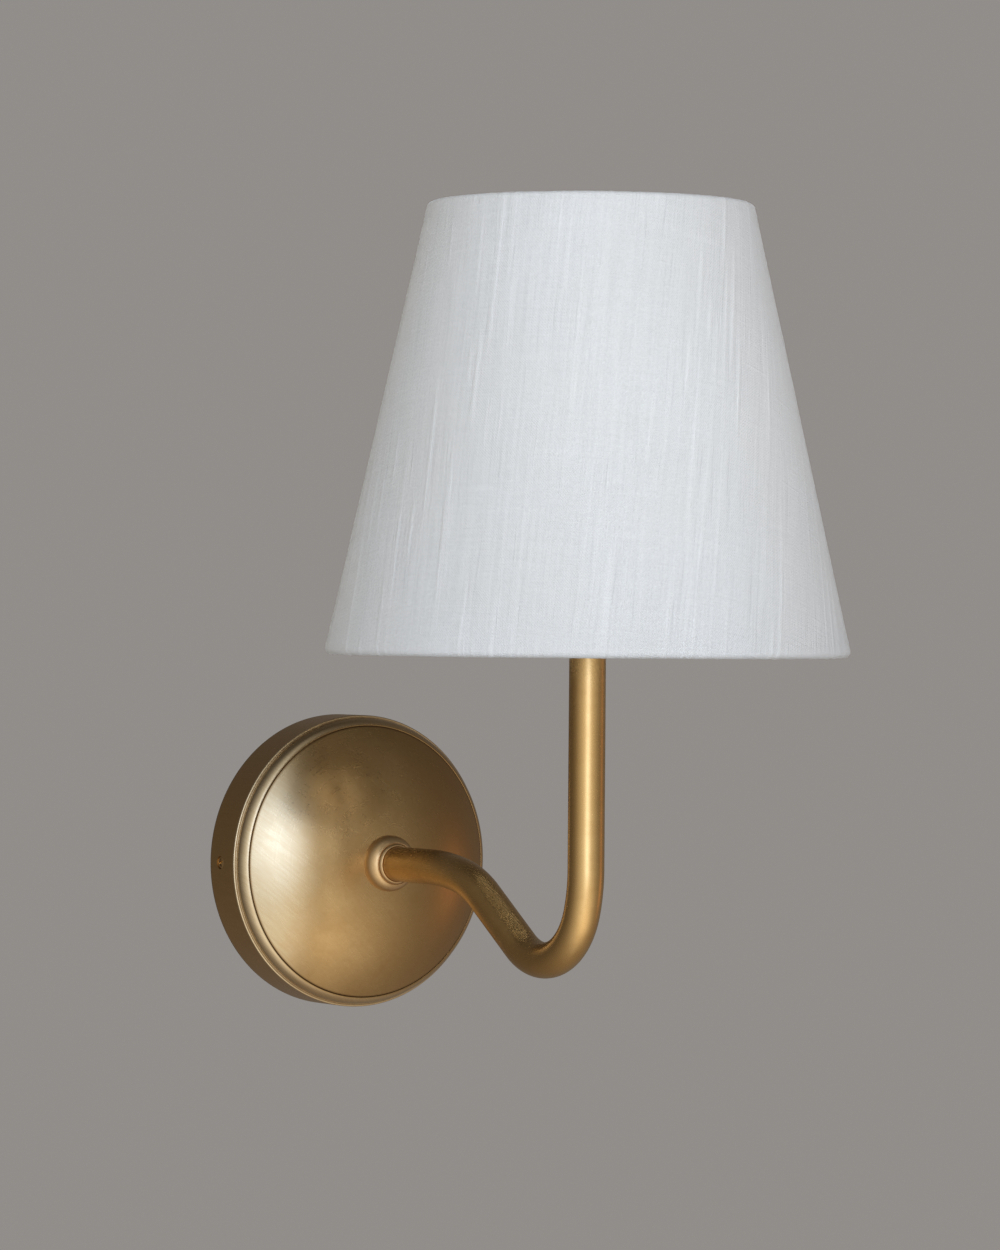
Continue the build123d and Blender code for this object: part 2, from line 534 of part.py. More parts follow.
# spider: three wires from the bottom ring up to the carrier ring
ARM_WIRE = 1.3
cz = CARRIER_Z + 0.6
arms = []
for a in (90, 210, 330):
    v = [Vector(17.6, 0, cz + 0.4), Vector(27.0, 0, cz + 0.4), Vector(78.0, 0, 95.6), Vector(bot_c_r - 2.2, 0, bot_c_z + 1.0)]
    r_ = []
    for i in (1, 2):
        p_, q_ = v[i] - v[i - 1], v[i + 1] - v[i]
        r_.append(round(0.4 * min(p_.length, q_.length) / tan(radians(p_.get_angle(q_)) / 2), 3))
    w = Wire(FilletPolyline(*v, radius=r_).edges())
    arms.append(Rot(0, 0, a) * swept(w, ARM_WIRE))
CARR_IN = HOLDER_THREAD_R + 0.5
carrier = rev((CARR_IN, CARRIER_Z), [("L", 18.9, CARRIER_Z), ("L", 19.2, CARRIER_Z + 0.3), ("L", 19.2, CARRIER_Z + 0.9),
                                     ("L", 18.9, CARRIER_Z + 1.2), ("L", CARR_IN, CARRIER_Z + 1.2)])
out("shade_carrier_ring", at_axis(carrier))
# each wire is flattened and lapped on the carrier's rim: the wires stop at it
trim = disc(19.2, CARRIER_Z - 3, CARRIER_Z + 4)
hemcut = Pos(0, 0, bot_c_z) * Torus(bot_c_r, HEM_R)
out("shade_spider", at_axis(Compound(children=[s - trim - hemcut for s in arms])))

# --------------------------------------------------------------------------- lamp
# E14 golf ball lamp: cap, insulator, contact, glass, stem and four filaments
capz0 = SHELL_Z0
lamp_cap = rev((0, 123.4 + 0.0), [("L", 3.0, 123.4), ("L", 5.1, 123.9), ("L", 6.52 - 0.0, capz0 + 0.0)]
               + wave(6.52, 0.4, capz0, PITCH, 5)
               + [("L", 6.52, 139.4), ("L", 7.2, 140.4), ("L", 8.3, 143.2), ("L", 8.3, 145.6), ("L", 7.4, 145.6),
                  ("L", 7.0, 141.0), ("L", 5.6, 139.4), ("L", 5.6, 125.4), ("L", 0, 125.4)])
out("lamp_cap", at_axis(lamp_cap))
out("lamp_insulator", at_axis(rev((0, 123.35), [("L", 2.95, 123.35), ("L", 2.75, 122.95), ("L", 0, 122.95)]) - Pos(0, 0, 123) * Cylinder(1.45, 2)))
out("lamp_contact", at_axis(disc(1.4, 122.82, 123.38)))
gz = 142.4
neck_r = 6.8
glass_t = 0.8
rg = LAMP_R
zc = LAMP_C
aj = radians(47)
jr, jz = rg * sin(aj), zc - rg * cos(aj)
glass = rev((neck_r, gz), [
    ("L", neck_r, 145.9), ("A", 10.2, 152.9, jr, jz),
    ("A", rg, zc, rg * sin(radians(60)), zc + rg * cos(radians(60))),
    ("A", rg * sin(radians(30)), zc + rg * cos(radians(30)), 0, zc + rg),
    ("L", 0, zc + rg - glass_t),
    ("A", (rg - glass_t) * sin(radians(30)), zc + (rg - glass_t) * cos(radians(30)),
     (rg - glass_t) * sin(radians(60)), zc + (rg - glass_t) * cos(radians(60))),
    ("A", rg - glass_t, zc, jr - glass_t * sin(aj), jz + glass_t * cos(aj)),
    ("A", 10.2 - 0.72, 153.25, neck_r - glass_t, 146.1),
    ("L", neck_r - glass_t, gz),
])
out("lamp_glass", at_axis(glass))
stem = rev((0, 146.0), [("L", 5.6, 146.0), ("L", 5.2, 147.4), ("L", 3.9, 149.0), ("L", 3.0, 151.0), ("L", 2.5, 153.5),
                        ("L", 2.1, 163.0), ("L", 1.8, 164.2), ("L", 1.0, 164.9), ("L", 0, 165.0)])
out("lamp_stem", at_axis(stem))
fils = []
for i in range(4):
    a = 90 * i + 45
    q = [Vector(2.6, 0, 162.0), Vector(7.4, 0, 165.5), Vector(4.4, 0, 192.5)]
    w = Wire([Edge.make_line(q[1], q[2])])
    fils.append(Rot(0, 0, a) * swept(w, 0.75))
out("lamp_filaments", at_axis(Compound(children=fils)))
sup = []
for i in range(4):
    a = 90 * i + 45
    lo_ = Wire([Edge.make_line(Vector(1.2, 0, 161.5), Vector(7.4, 0, 165.3))])
    sup.append(Rot(0, 0, a) * swept(lo_, 0.22))
top_ring = Pos(0, 0, 193.0) * Torus(4.35, 0.25)
supports = Compound(children=sup)
out("lamp_supports", at_axis(Compound(children=[s - stem for s in sup] + [top_ring])))
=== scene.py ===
import math
import random

import bmesh
import bpy
import numpy as np
from mathutils import Matrix, Vector


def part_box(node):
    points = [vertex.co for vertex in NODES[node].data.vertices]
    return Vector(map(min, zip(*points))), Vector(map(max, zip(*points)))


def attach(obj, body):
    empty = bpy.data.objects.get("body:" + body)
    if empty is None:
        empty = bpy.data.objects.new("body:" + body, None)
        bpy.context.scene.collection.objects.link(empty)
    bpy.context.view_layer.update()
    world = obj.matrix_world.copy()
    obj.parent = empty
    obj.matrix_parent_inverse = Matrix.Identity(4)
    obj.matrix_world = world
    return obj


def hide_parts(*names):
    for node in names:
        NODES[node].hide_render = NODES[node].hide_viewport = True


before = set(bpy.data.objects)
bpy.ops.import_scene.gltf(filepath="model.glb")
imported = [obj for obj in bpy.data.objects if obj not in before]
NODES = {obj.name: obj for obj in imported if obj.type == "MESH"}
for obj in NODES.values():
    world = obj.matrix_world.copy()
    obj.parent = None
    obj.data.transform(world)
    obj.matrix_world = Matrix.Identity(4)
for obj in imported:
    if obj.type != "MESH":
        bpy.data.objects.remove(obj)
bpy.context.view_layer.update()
SC = bpy.context.scene
MM = 0.001
PROJ = -(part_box("shade_carrier_ring")[0].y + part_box("shade_carrier_ring")[1].y) / 2 / MM

# ------------------------------------------------------------------ camera
yaw, pitch, roll = math.radians(33.0214), math.radians(-0.1673), math.radians(0.4358)
d = Vector((math.sin(yaw) * math.cos(pitch), math.cos(yaw) * math.cos(pitch), math.sin(pitch)))
r = Vector((math.cos(yaw), -math.sin(yaw), 0.0))
u = r.cross(d)
r2 = r * math.cos(roll) + u * math.sin(roll)
u2 = -r * math.sin(roll) + u * math.cos(roll)
cam_data = bpy.data.cameras.new("camera")
cam = bpy.data.objects.new("camera", cam_data)
SC.collection.objects.link(cam)
m = Matrix.Identity(4)
for i in range(3):
    m[i][0], m[i][1], m[i][2] = r2[i], u2[i], -d[i]
m.translation = Vector((-1.10060, -1.81521, 0.10237))
cam.matrix_world = m
cam_data.sensor_fit = "AUTO"
cam_data.sensor_width = 36.0
cam_data.lens = 5185.8 * 36.0 / 1250.0
cam_data.clip_start, cam_data.clip_end = 0.05, 50.0
SC.camera = cam


# ------------------------------------------------------------ node helpers
class Mat:
    """A small builder for node materials."""

    def __init__(self, name):
        self.m = bpy.data.materials.new(name)
        self.m.use_nodes = True
        self.t = self.m.node_tree
        self.t.nodes.clear()
        self.out = self.t.nodes.new("ShaderNodeOutputMaterial")
        self.p = self.t.nodes.new("ShaderNodeBsdfPrincipled")
        self.t.links.new(self.p.outputs["BSDF"], self.out.inputs["Surface"])

    def node(self, kind, **kw):
        n = self.t.nodes.new(kind)
        for k, v in kw.items():
            setattr(n, k, v)
        return n

    def link(self, a, b):
        self.t.links.new(a, b)

    def setp(self, **kw):
        names = {"metallic": "Metallic", "roughness": "Roughness", "ior": "IOR", "spec": "Specular IOR Level",
                 "sheen": "Sheen Weight", "sheen_rough": "Sheen Roughness", "coat": "Coat Weight",
                 "coat_rough": "Coat Roughness", "trans": "Transmission Weight", "alpha": "Alpha",
                 "aniso": "Anisotropic", "sub": "Subsurface Weight", "sub_scale": "Subsurface Scale"}
        for k, v in kw.items():
            self.p.inputs[names[k]].default_value = v

    def val(self, x):
        return x

    def _in(self, sock, x):
        if isinstance(x, (int, float)):
            sock.default_value = x
        elif isinstance(x, (tuple, list)):
            sock.default_value = tuple(x) if len(x) == len(sock.default_value) else tuple(x) + (1.0,)
        else:
            self.link(x, sock)

    def math(self, op, a, b=0.0, c=0.0, clamp=False):
        n = self.node("ShaderNodeMath", operation=op, use_clamp=clamp)
        for i, x in enumerate((a, b, c)):
            self._in(n.inputs[i], x)
        return n.outputs[0]

    def vmath(self, op, a, b=(0, 0, 0)):
        n = self.node("ShaderNodeVectorMath", operation=op)
        self._in(n.inputs[0], a)
        self._in(n.inputs[1], b)
        return n.outputs["Value"] if op in ("LENGTH", "DOT_PRODUCT", "DISTANCE") else n.outputs[0]

    def coord(self):
        return self.node("ShaderNodeTexCoord").outputs["Object"]

    def attr(self, name):
        return self.node("ShaderNodeAttribute", attribute_name=name).outputs["Vector"]

    def sep(self, v):
        n = self.node("ShaderNodeSeparateXYZ")
        self.link(v, n.inputs[0])
        return n.outputs[0], n.outputs[1], n.outputs[2]

    def comb(self, x, y, z):
        n = self.node("ShaderNodeCombineXYZ")
        for i, a in enumerate((x, y, z)):
            self._in(n.inputs[i], a)
        return n.outputs[0]

    def noise(self, vec, scale, detail=3.0, rough=0.55, dist=0.0):
        n = self.node("ShaderNodeTexNoise")
        self.link(vec, n.inputs["Vector"])
        n.inputs["Scale"].default_value = scale
        n.inputs["Detail"].default_value = detail
        n.inputs["Roughness"].default_value = rough
        n.inputs["Distortion"].default_value = dist
        return n.outputs[0]

    def voronoi(self, vec, scale, feature="F1"):
        n = self.node("ShaderNodeTexVoronoi", feature=feature)
        self.link(vec, n.inputs["Vector"])
        n.inputs["Scale"].default_value = scale
        return n.outputs[0]

    def ramp(self, f, stops):
        n = self.node("ShaderNodeValToRGB")
        self._in(n.inputs[0], f)
        cr = n.color_ramp
        while len(cr.elements) < len(stops):
            cr.elements.new(0.5)
        for e, (pos, col) in zip(cr.elements, stops):
            e.position = pos
            e.color = tuple(col) + (1.0,) if len(col) == 3 else tuple(col)
        return n.outputs[0]

    def maprange(self, f, a, b, c, d_, smooth=False):
        n = self.node("ShaderNodeMapRange")
        n.interpolation_type = "SMOOTHSTEP" if smooth else "LINEAR"
        n.clamp = True
        self._in(n.inputs[0], f)
        for i, x in enumerate((a, b, c, d_)):
            n.inputs[i + 1].default_value = x
        return n.outputs[0]

    def mix(self, f, a, b, blend="MIX"):
        n = self.node("ShaderNodeMix", data_type="RGBA", blend_type=blend)
        self._in(n.inputs[0], f)
        self._in(n.inputs[6], a)
        self._in(n.inputs[7], b)
        return n.outputs[2]

    def bump(self, h, strength, dist, prev=None):
        n = self.node("ShaderNodeBump")
        n.inputs["Strength"].default_value = strength
        n.inputs["Distance"].default_value = dist
        self.link(h, n.inputs["Height"])
        if prev is not None:
            self.link(prev, n.inputs["Normal"])
        return n.outputs[0]

    def base(self, x):
        self._in(self.p.inputs["Base Color"], x)

    def rough(self, x):
        self._in(self.p.inputs["Roughness"], x)

    def normal(self, x):
        self.link(x, self.p.inputs["Normal"])


# --------------------------------------------------------------- materials
def brass(name, tint=(1.0, 1.0, 1.0), dark=1.0, rough=0.30, axis=None, groove=None, seed=0.0, coat=0.45, side=None, relief=1.0):
    """Satin antique brass under clear lacquer: faint turned or drawn lines, cloudy patina, few small marks."""
    a = Mat(name)
    co = a.coord()
    co = a.vmath("ADD", co, (seed, seed * 0.7, seed * 1.3))
    big = a.noise(co, 26.0, 4.0, 0.6, 0.5)
    mid = a.noise(co, 170.0, 5.0, 0.62)
    fine = a.noise(co, 2200.0, 3.0, 0.65)
    c0 = tuple(v * t * dark for v, t in zip((0.565, 0.372, 0.170), tint))
    c1 = tuple(v * t * dark for v, t in zip((0.625, 0.425, 0.205), tint))
    c2 = tuple(v * t * dark for v, t in zip((0.485, 0.300, 0.120), tint))
    f = a.maprange(big, 0.35, 0.65, 0.0, 1.0, True)
    col = a.mix(f, c0, c1)
    g = a.maprange(mid, 0.50, 0.74, 0.0, 0.34, True)
    col = a.mix(g, col, c2)
    grain = a.maprange(fine, 0.3, 0.7, -0.5, 0.5)
    col = a.mix(a.math("ADD", 0.16, a.math("MULTIPLY", grain, 0.60 if relief > 0.5 else 0.0), clamp=True), col, c2)
    if relief > 0.5:
        cloudy = a.noise(co, 520.0, 3.0, 0.6)
        col = a.mix(a.maprange(cloudy, 0.46, 0.66, 0.0, 0.22, True), col, c2)
    spots = a.maprange(a.voronoi(co, 210.0), 0.0, 0.07, 0.22, 0.0, True)
    col = a.mix(spots, col, tuple(v * 0.55 for v in c2))
    # lines left by the polishing wheel: fine streaks round the part's own axis
    if axis == "Y":
        x, y, z = a.sep(co)
        rad = a.vmath("LENGTH", a.comb(x, 0.0, z))
        ang = a.math("ARCTAN2", x, z)
        streak_co = a.comb(a.math("MULTIPLY", rad, 1500.0), a.math("MULTIPLY", ang, 1.1), a.math("MULTIPLY", y, 1500.0))
        streak = a.noise(streak_co, 1.0, 2.0, 0.6)
    elif axis == "T":
        st = a.attr("tube_co")
        streak = a.noise(a.vmath("MULTIPLY", st, (1.5, 1.5, 0.03)), 1.0, 2.0, 0.6)
    else:
        streak = a.noise(a.vmath("MULTIPLY", co, (1.0, 1.0, 9.0)), 260.0, 3.0, 0.7)
    # a rag's cross-hatching, slanted
    hatch = a.noise(a.vmath("MULTIPLY", a.vmath("ADD", co, (0.0, 0.0, 0.0)), (1.0, 0.35, 1.0)), 90.0, 2.0, 0.5)
    slant = a.comb(a.math("MULTIPLY", a.math("ADD", a.sep(co)[0], a.math("MULTIPLY", a.sep(co)[2], 1.1)), 900.0),
                   a.math("MULTIPLY", a.math("SUBTRACT", a.sep(co)[2], a.sep(co)[0]), 60.0), a.math("MULTIPLY", a.sep(co)[1], 120.0))
    rag = a.noise(slant, 1.0, 2.0, 0.6)
    if side is not None:                # painted highlight on the left of the dome, painted shade in a band beside it and towards the right
        x, y, z = a.sep(a.coord())
        xs = a.math("ADD", x, a.math("MULTIPLY", a.math("SUBTRACT", big, 0.5), 0.02))
        # painted shade: a darker band round x = -31 mm, where the highlight falls off
        painted_shade_band = a.maprange(a.math("ABSOLUTE", a.math("ADD", xs, 0.031)), 0.0, 0.011, 0.30, 0.0, True)
        col = a.mix(painted_shade_band, col, tuple(v * 0.45 for v in c2))
        # painted highlight: paler, whiter brass towards the left
        painted_highlight = a.maprange(xs, -0.026, -0.046, 0.0, 0.70, True)
        col = a.mix(painted_highlight, col, (0.430, 0.370, 0.250))
        # painted shade: browner brass towards the right
        brown = a.maprange(xs, 0.004, 0.042, 0.0, 0.60, True)
        col = a.mix(brown, col, (0.27, 0.150, 0.052))
    if side is not None:                # painted reflection: the side wall next to the wall gets a brighter, warmer brass, set for the tone of the shaded wall seen in it
        x, y, z = a.sep(a.coord())
        wall_side_painted_tone = a.maprange(y, -0.0186, -0.0178, 0.0, side, True)
        col = a.mix(wall_side_painted_tone, col, tuple(v * 1.5 for v in c2))
    if groove is not None:
        x, y, z = a.sep(a.coord())
        rad = a.vmath("LENGTH", a.comb(x, 0.0, z))
        rubbed_edge_and_highlight = a.maprange(rad, 0.0553, 0.0560, 0.0, 0.50, True)      # the rolled edge painted paler: rubbed brass, and partly a painted highlight
        rubbed_edge_and_highlight = a.math("MULTIPLY", rubbed_edge_and_highlight, a.maprange(y, -0.0172, -0.0183, 0.0, 1.0, True))
        col = a.mix(rubbed_edge_and_highlight, col, (0.60, 0.475, 0.310))
        # darker brown in and beside the grooves on the front face
        for r0, w, amt in groove:
            near = a.maprange(a.math("ABSOLUTE", a.math("SUBTRACT", rad, r0)), 0.0, w, amt, 0.0, True)
            frontal = a.maprange(y, -0.0172, -0.0183, 0.0, 1.0)
            near = a.math("MULTIPLY", near, frontal)
            col = a.mix(near, col, (0.17, 0.10, 0.04))
    rub = a.maprange(rag, 0.38, 0.62, 0.0, 0.16 if relief > 0.5 else 0.02, True)
    col = a.mix(rub, col, c2)
    a.base(col)
    ro = a.math("ADD", a.math("MULTIPLY", a.math("SUBTRACT", mid, 0.5), 0.07), rough)
    ro = a.math("ADD", ro, a.math("MULTIPLY", a.math("SUBTRACT", streak, 0.5), 0.07))
    ro = a.math("ADD", ro, a.math("MULTIPLY", a.math("SUBTRACT", rag, 0.5), 0.06))
    a.rough(ro)
    a.setp(metallic=1.0, coat=coat, coat_rough=0.20)
    n1 = a.bump(streak, 0.07 * relief, 0.00010)
    n2 = a.bump(rag, 0.035 * relief, 0.00010, n1) if relief > 0.5 else n1
    n3 = a.bump(fine, 0.06 * relief, 0.00005, n2) if relief > 0.5 else n2
    n4 = a.bump(hatch, 0.035 * relief, 0.0004, n3)
    a.normal(n4)
    return a.m


def plain_metal(name, col, rough, metallic=1.0, scale=500.0, bump=0.05, worn=None):
    a = Mat(name)
    co = a.coord()
    n1 = a.noise(co, scale, 4.0, 0.6)
    n2 = a.noise(co, scale * 0.12, 3.0, 0.6)
    c = a.mix(a.maprange(n2, 0.35, 0.65, 0.0, 1.0, True), tuple(v * 0.86 for v in col), col)
    if worn:
        c = a.mix(a.maprange(n1, 0.6, 0.72, 0.0, 0.6, True), c, worn)
    a.base(c)
    a.rough(a.math("ADD", a.math("MULTIPLY", a.math("SUBTRACT", n1, 0.5), 0.22), rough))
    a.setp(metallic=metallic)
    a.normal(a.bump(n1, bump, 0.0001))
    return a.m


def plastic(name, col, rough=0.45, scale=900.0, bump=0.06, coat=0.0):
    a = Mat(name)
    co = a.coord()
    n1 = a.noise(co, scale, 3.0, 0.6)
    n2 = a.noise(co, 60.0, 3.0, 0.5)
    a.base(a.mix(a.maprange(n2, 0.3, 0.7, 0.0, 1.0, True), tuple(v * 0.93 for v in col), col))
    a.rough(a.math("ADD", a.math("MULTIPLY", a.math("SUBTRACT", n1, 0.5), 0.12), rough))
    a.normal(a.bump(n1, bump, 0.00005))
    a.setp(coat=coat)
    return a.m


def linen(name, base=(0.915, 0.92, 0.91)):
    """Slub linen in the flat, uncut cloth's own coordinates (mm): x across the warp, y along it."""
    a = Mat(name)
    st = a.attr("cloth_co")
    x, y, z = a.sep(st)
    slub_v = a.node("ShaderNodeAttribute", attribute_name="slub").outputs["Fac"]
    # wandering threads
    wob = a.noise(a.comb(a.math("MULTIPLY", x, 0.05), a.math("MULTIPLY", y, 0.02), 3.1), 1.0, 2.0, 0.5)
    xw = a.math("ADD", x, a.math("MULTIPLY", a.math("SUBTRACT", wob, 0.5), 3.0))
    wob2 = a.noise(a.comb(a.math("MULTIPLY", x, 0.02), a.math("MULTIPLY", y, 0.05), 7.7), 1.0, 2.0, 0.5)
    yw = a.math("ADD", y, a.math("MULTIPLY", a.math("SUBTRACT", wob2, 0.5), 3.0))
    # plain weave, uneven thread by thread
    jx = a.noise(a.comb(a.math("MULTIPLY", xw, 1.3), a.math("MULTIPLY", yw, 0.10), 0.0), 1.0, 2.0, 0.7)
    jy = a.noise(a.comb(a.math("MULTIPLY", xw, 0.10), a.math("MULTIPLY", yw, 1.3), 5.0), 1.0, 2.0, 0.7)
    sx = a.math("SINE", a.math("ADD", a.math("MULTIPLY", xw, 2 * math.pi / 1.02), a.math("MULTIPLY", jx, 6.0)))
    sy = a.math("SINE", a.math("ADD", a.math("MULTIPLY", yw, 2 * math.pi / 1.08), a.math("MULTIPLY", jy, 6.0)))
    weave = a.math("MULTIPLY", sx, sy)
    # thickness of each thread changes along it
    warp = a.noise(a.comb(a.math("MULTIPLY", xw, 1.00), a.math("MULTIPLY", yw, 0.020), 1.0), 1.0, 3.0, 0.66)
    weft = a.noise(a.comb(a.math("MULTIPLY", xw, 0.030), a.math("MULTIPLY", yw, 1.0), 9.0), 1.0, 3.0, 0.66)
    slub2 = a.maprange(a.noise(a.comb(a.math("MULTIPLY", xw, 0.95), a.math("MULTIPLY", yw, 0.035), 33.0), 1.0, 1.5, 0.5), 0.60, 0.76, 0.0, 1.0, True)
    slub3 = a.maprange(a.noise(a.comb(a.math("MULTIPLY", xw, 0.045), a.math("MULTIPLY", yw, 0.85), 47.0), 1.0, 1.5, 0.5), 0.62, 0.78, 0.0, 1.0, True)
    gap = a.maprange(a.noise(a.comb(a.math("MULTIPLY", xw, 1.15), a.math("MULTIPLY", yw, 0.022), 61.0), 1.0, 1.5, 0.5), 0.60, 0.74, 0.0, 1.0, True)
    fuzz = a.noise(st, 1.25, 4.0, 0.78)
    curl = a.noise(a.vmath("MULTIPLY", st, (1.2, 0.8, 1.0)), 0.75, 3.0, 0.7, 1.5)
    h = a.math("MULTIPLY", weave, 0.42)
    h = a.math("ADD", h, a.math("MULTIPLY", warp, 1.7))
    h = a.math("ADD", h, a.math("MULTIPLY", weft, 0.8))
    h = a.math("ADD", h, a.math("MULTIPLY", slub2, 0.60))
    h = a.math("ADD", h, a.math("MULTIPLY", slub3, 0.45))
    h = a.math("ADD", h, a.math("MULTIPLY", slub_v, 0.8))
    h = a.math("SUBTRACT", h, a.math("MULTIPLY", gap, 0.55))
    h = a.math("ADD", h, a.math("MULTIPLY", fuzz, 1.0))
    h = a.math("ADD", h, a.math("MULTIPLY", curl, 0.7))
    # colour: gaps between threads a little darker, thick threads a little lighter
    tone = a.math("ADD", a.math("MULTIPLY", a.math("SUBTRACT", warp, 0.5), 0.85), a.math("MULTIPLY", a.math("SUBTRACT", weft, 0.5), 0.40))
    tone = a.math("ADD", tone, a.math("MULTIPLY", weave, 0.25))
    tone = a.math("ADD", tone, a.math("MULTIPLY", a.math("SUBTRACT", fuzz, 0.5), 2.0))
    tone = a.math("ADD", tone, a.math("MULTIPLY", a.math("SUBTRACT", curl, 0.5), 0.60))
    tone = a.math("ADD", tone, a.math("MULTIPLY", slub2, 0.10))
    tone = a.math("ADD", tone, a.math("MULTIPLY", slub3, 0.06))
    tone = a.math("ADD", tone, a.math("MULTIPLY", slub_v, 0.25))
    tone = a.math("SUBTRACT", tone, a.math("MULTIPLY", gap, 0.25))
    tone = a.math("ADD", tone, 0.62)
    lo_c = tuple(v * 0.80 for v in base)
    hi_c = tuple(min(1.0, v * 1.08) for v in base)
    col = a.mix(a.math("MULTIPLY", tone, 1.0, clamp=True), lo_c, hi_c)
    cloud = a.noise(st, 0.018, 2.0, 0.5)
    col = a.mix(a.maprange(cloud, 0.35, 0.65, 0.0, 0.20, True), col, (0.87, 0.855, 0.81))
    fleck = a.maprange(a.voronoi(a.comb(a.math("MULTIPLY", x, 0.050), a.math("MULTIPLY", y, 0.026), 2.0), 1.0), 0.0, 0.030, 0.45, 0.0, True)
    col = a.mix(fleck, col, (0.42, 0.42, 0.41))
    a.base(col)
    a.setp(sheen=0.42, sheen_rough=0.40, spec=0.25)
    a.p.inputs["Roughness"].default_value = 0.88
    nrm = a.bump(h, 0.55, 0.00030)
    a.normal(nrm)
    # thin cloth lets some light through
    tl = a.node("ShaderNodeBsdfTranslucent")
    a.link(col, tl.inputs["Color"])
    mixn = a.node("ShaderNodeMixShader")
    mixn.inputs[0].default_value = 0.14
    a.link(a.p.outputs[0], mixn.inputs[1])
    a.link(tl.outputs[0], mixn.inputs[2])
    a.link(mixn.outputs[0], a.out.inputs["Surface"])
    return a.m


def sheer(mat, share):
    """Let some light through a thin plastic sheet."""
    t = mat.node_tree
    p_ = next(n for n in t.nodes if n.type == "BSDF_PRINCIPLED")
    o_ = next(n for n in t.nodes if n.type == "OUTPUT_MATERIAL")
    tl = t.nodes.new("ShaderNodeBsdfTranslucent")
    tl.inputs["Color"].default_value = (0.9, 0.9, 0.88, 1)
    mixn = t.nodes.new("ShaderNodeMixShader")
    mixn.inputs[0].default_value = share
    t.links.new(p_.outputs[0], mixn.inputs[1])
    t.links.new(tl.outputs[0], mixn.inputs[2])
    t.links.new(mixn.outputs[0], o_.inputs["Surface"])
    return mat


MATS = {
    # the plate carries painted highlight, shade and reflection by position (side=) and a partly painted highlight on
    # its rolled edge (groove=)
    "plate": brass("brass_plate", axis="Y", rough=0.285, dark=0.65, tint=(1.00, 0.975, 0.90), coat=0.22, side=0.80, groove=[(0.05490, 0.00085, 0.95), (0.05805, 0.0004, 0.45)]),
    "tube": brass("brass_tube", axis="T", rough=0.28, dark=0.87, tint=(1.0, 0.965, 0.84), seed=0.31, coat=0.16, relief=0.2),
    "ferrule": brass("brass_ferrule", axis="Y", rough=0.36, seed=0.73, dark=1.0, tint=(1.0, 1.03, 1.15), coat=0.2, relief=0.6),
    "brass_fit": brass("brass_fittings", rough=0.30, dark=0.86, seed=1.7),
    "inner_brass": plain_metal("turned_brass", (0.80, 0.60, 0.28), 0.28),
    "screw": plain_metal("screw_brass", (0.50, 0.34, 0.16), 0.22, worn=(0.78, 0.60, 0.36)),
    "steel": plain_metal("zinc_steel", (0.62, 0.63, 0.64), 0.36, scale=300.0, bump=0.08, worn=(0.75, 0.76, 0.78)),
    "nickel": plain_metal("nickel_plate", (0.70, 0.68, 0.64), 0.22),
    "alu": plain_metal("lamp_cap_metal", (0.78, 0.77, 0.75), 0.25, bump=0.09),
    "block": plastic("terminal_nylon", (0.84, 0.83, 0.78), 0.42),
    "black": plastic("black_bush", (0.022, 0.022, 0.024), 0.38),
    "pvc": plastic("flex_sheath", (0.80, 0.79, 0.75), 0.40),
    "brown": plastic("core_brown", (0.115, 0.045, 0.02), 0.36),
    "blue": plastic("core_blue", (0.03, 0.12, 0.42), 0.36),
    "ceramic": plastic("steatite", (0.86, 0.84, 0.78), 0.55, scale=1500.0, bump=0.12),
    "liner": sheer(plastic("styrene_liner", (0.86, 0.85, 0.82), 0.50, scale=700.0, bump=0.10), 0.25),
    "wire": plastic("white_wire", (0.80, 0.80, 0.77), 0.33, scale=350.0, bump=0.14, coat=0.2),
    "linen": linen("slub_linen"),
}


def earth_mat():
    a = Mat("core_green_yellow")
    x, y, z = a.sep(a.coord())
    w = a.math("SINE", a.math("MULTIPLY", a.math("ADD", x, a.math("MULTIPLY", y, 0.35)), 2600.0))
    f = a.maprange(w, -0.1, 0.1, 0.0, 1.0, True)
    c = a.mix(f, (0.045, 0.23, 0.05), (0.75, 0.62, 0.03))
    n = a.noise(a.coord(), 900.0)
    a.base(a.mix(a.maprange(n, 0.4, 0.7, 0.0, 0.15), c, (0.2, 0.2, 0.1)))
    a.rough(a.math("ADD", a.math("MULTIPLY", n, 0.1), 0.32))
    a.normal(a.bump(n, 0.05, 0.00005))
    return a.m


def glass_mat(name, rough=0.0, tint=(0.985, 0.992, 0.99)):
    a = Mat(name)
    n = a.noise(a.coord(), 90.0, 2.0)
    a.base(a.mix(a.maprange(n, 0.4, 0.6, 0.0, 1.0, True), tint, tuple(v * 0.985 for v in tint)))
    a.rough(a.maprange(n, 0.3, 0.7, rough, rough + 0.02))
    a.setp(trans=1.0, ior=1.45)
    a.normal(a.bump(n, 0.02, 0.0003))
    return a.m


def filament_mat():
    a = Mat("filament")
    n = a.noise(a.coord(), 1800.0, 2.0)
    a.base(a.mix(a.maprange(n, 0.4, 0.6, 0.0, 1.0, True), (0.80, 0.52, 0.06), (0.92, 0.68, 0.14)))
    a.rough(a.maprange(n, 0.3, 0.7, 0.45, 0.6))
    a.normal(a.bump(n, 0.2, 0.0001))
    return a.m


MATS["earth"] = earth_mat()
MATS["glass"] = glass_mat("lamp_glass_clear")
MATS["filament"] = filament_mat()

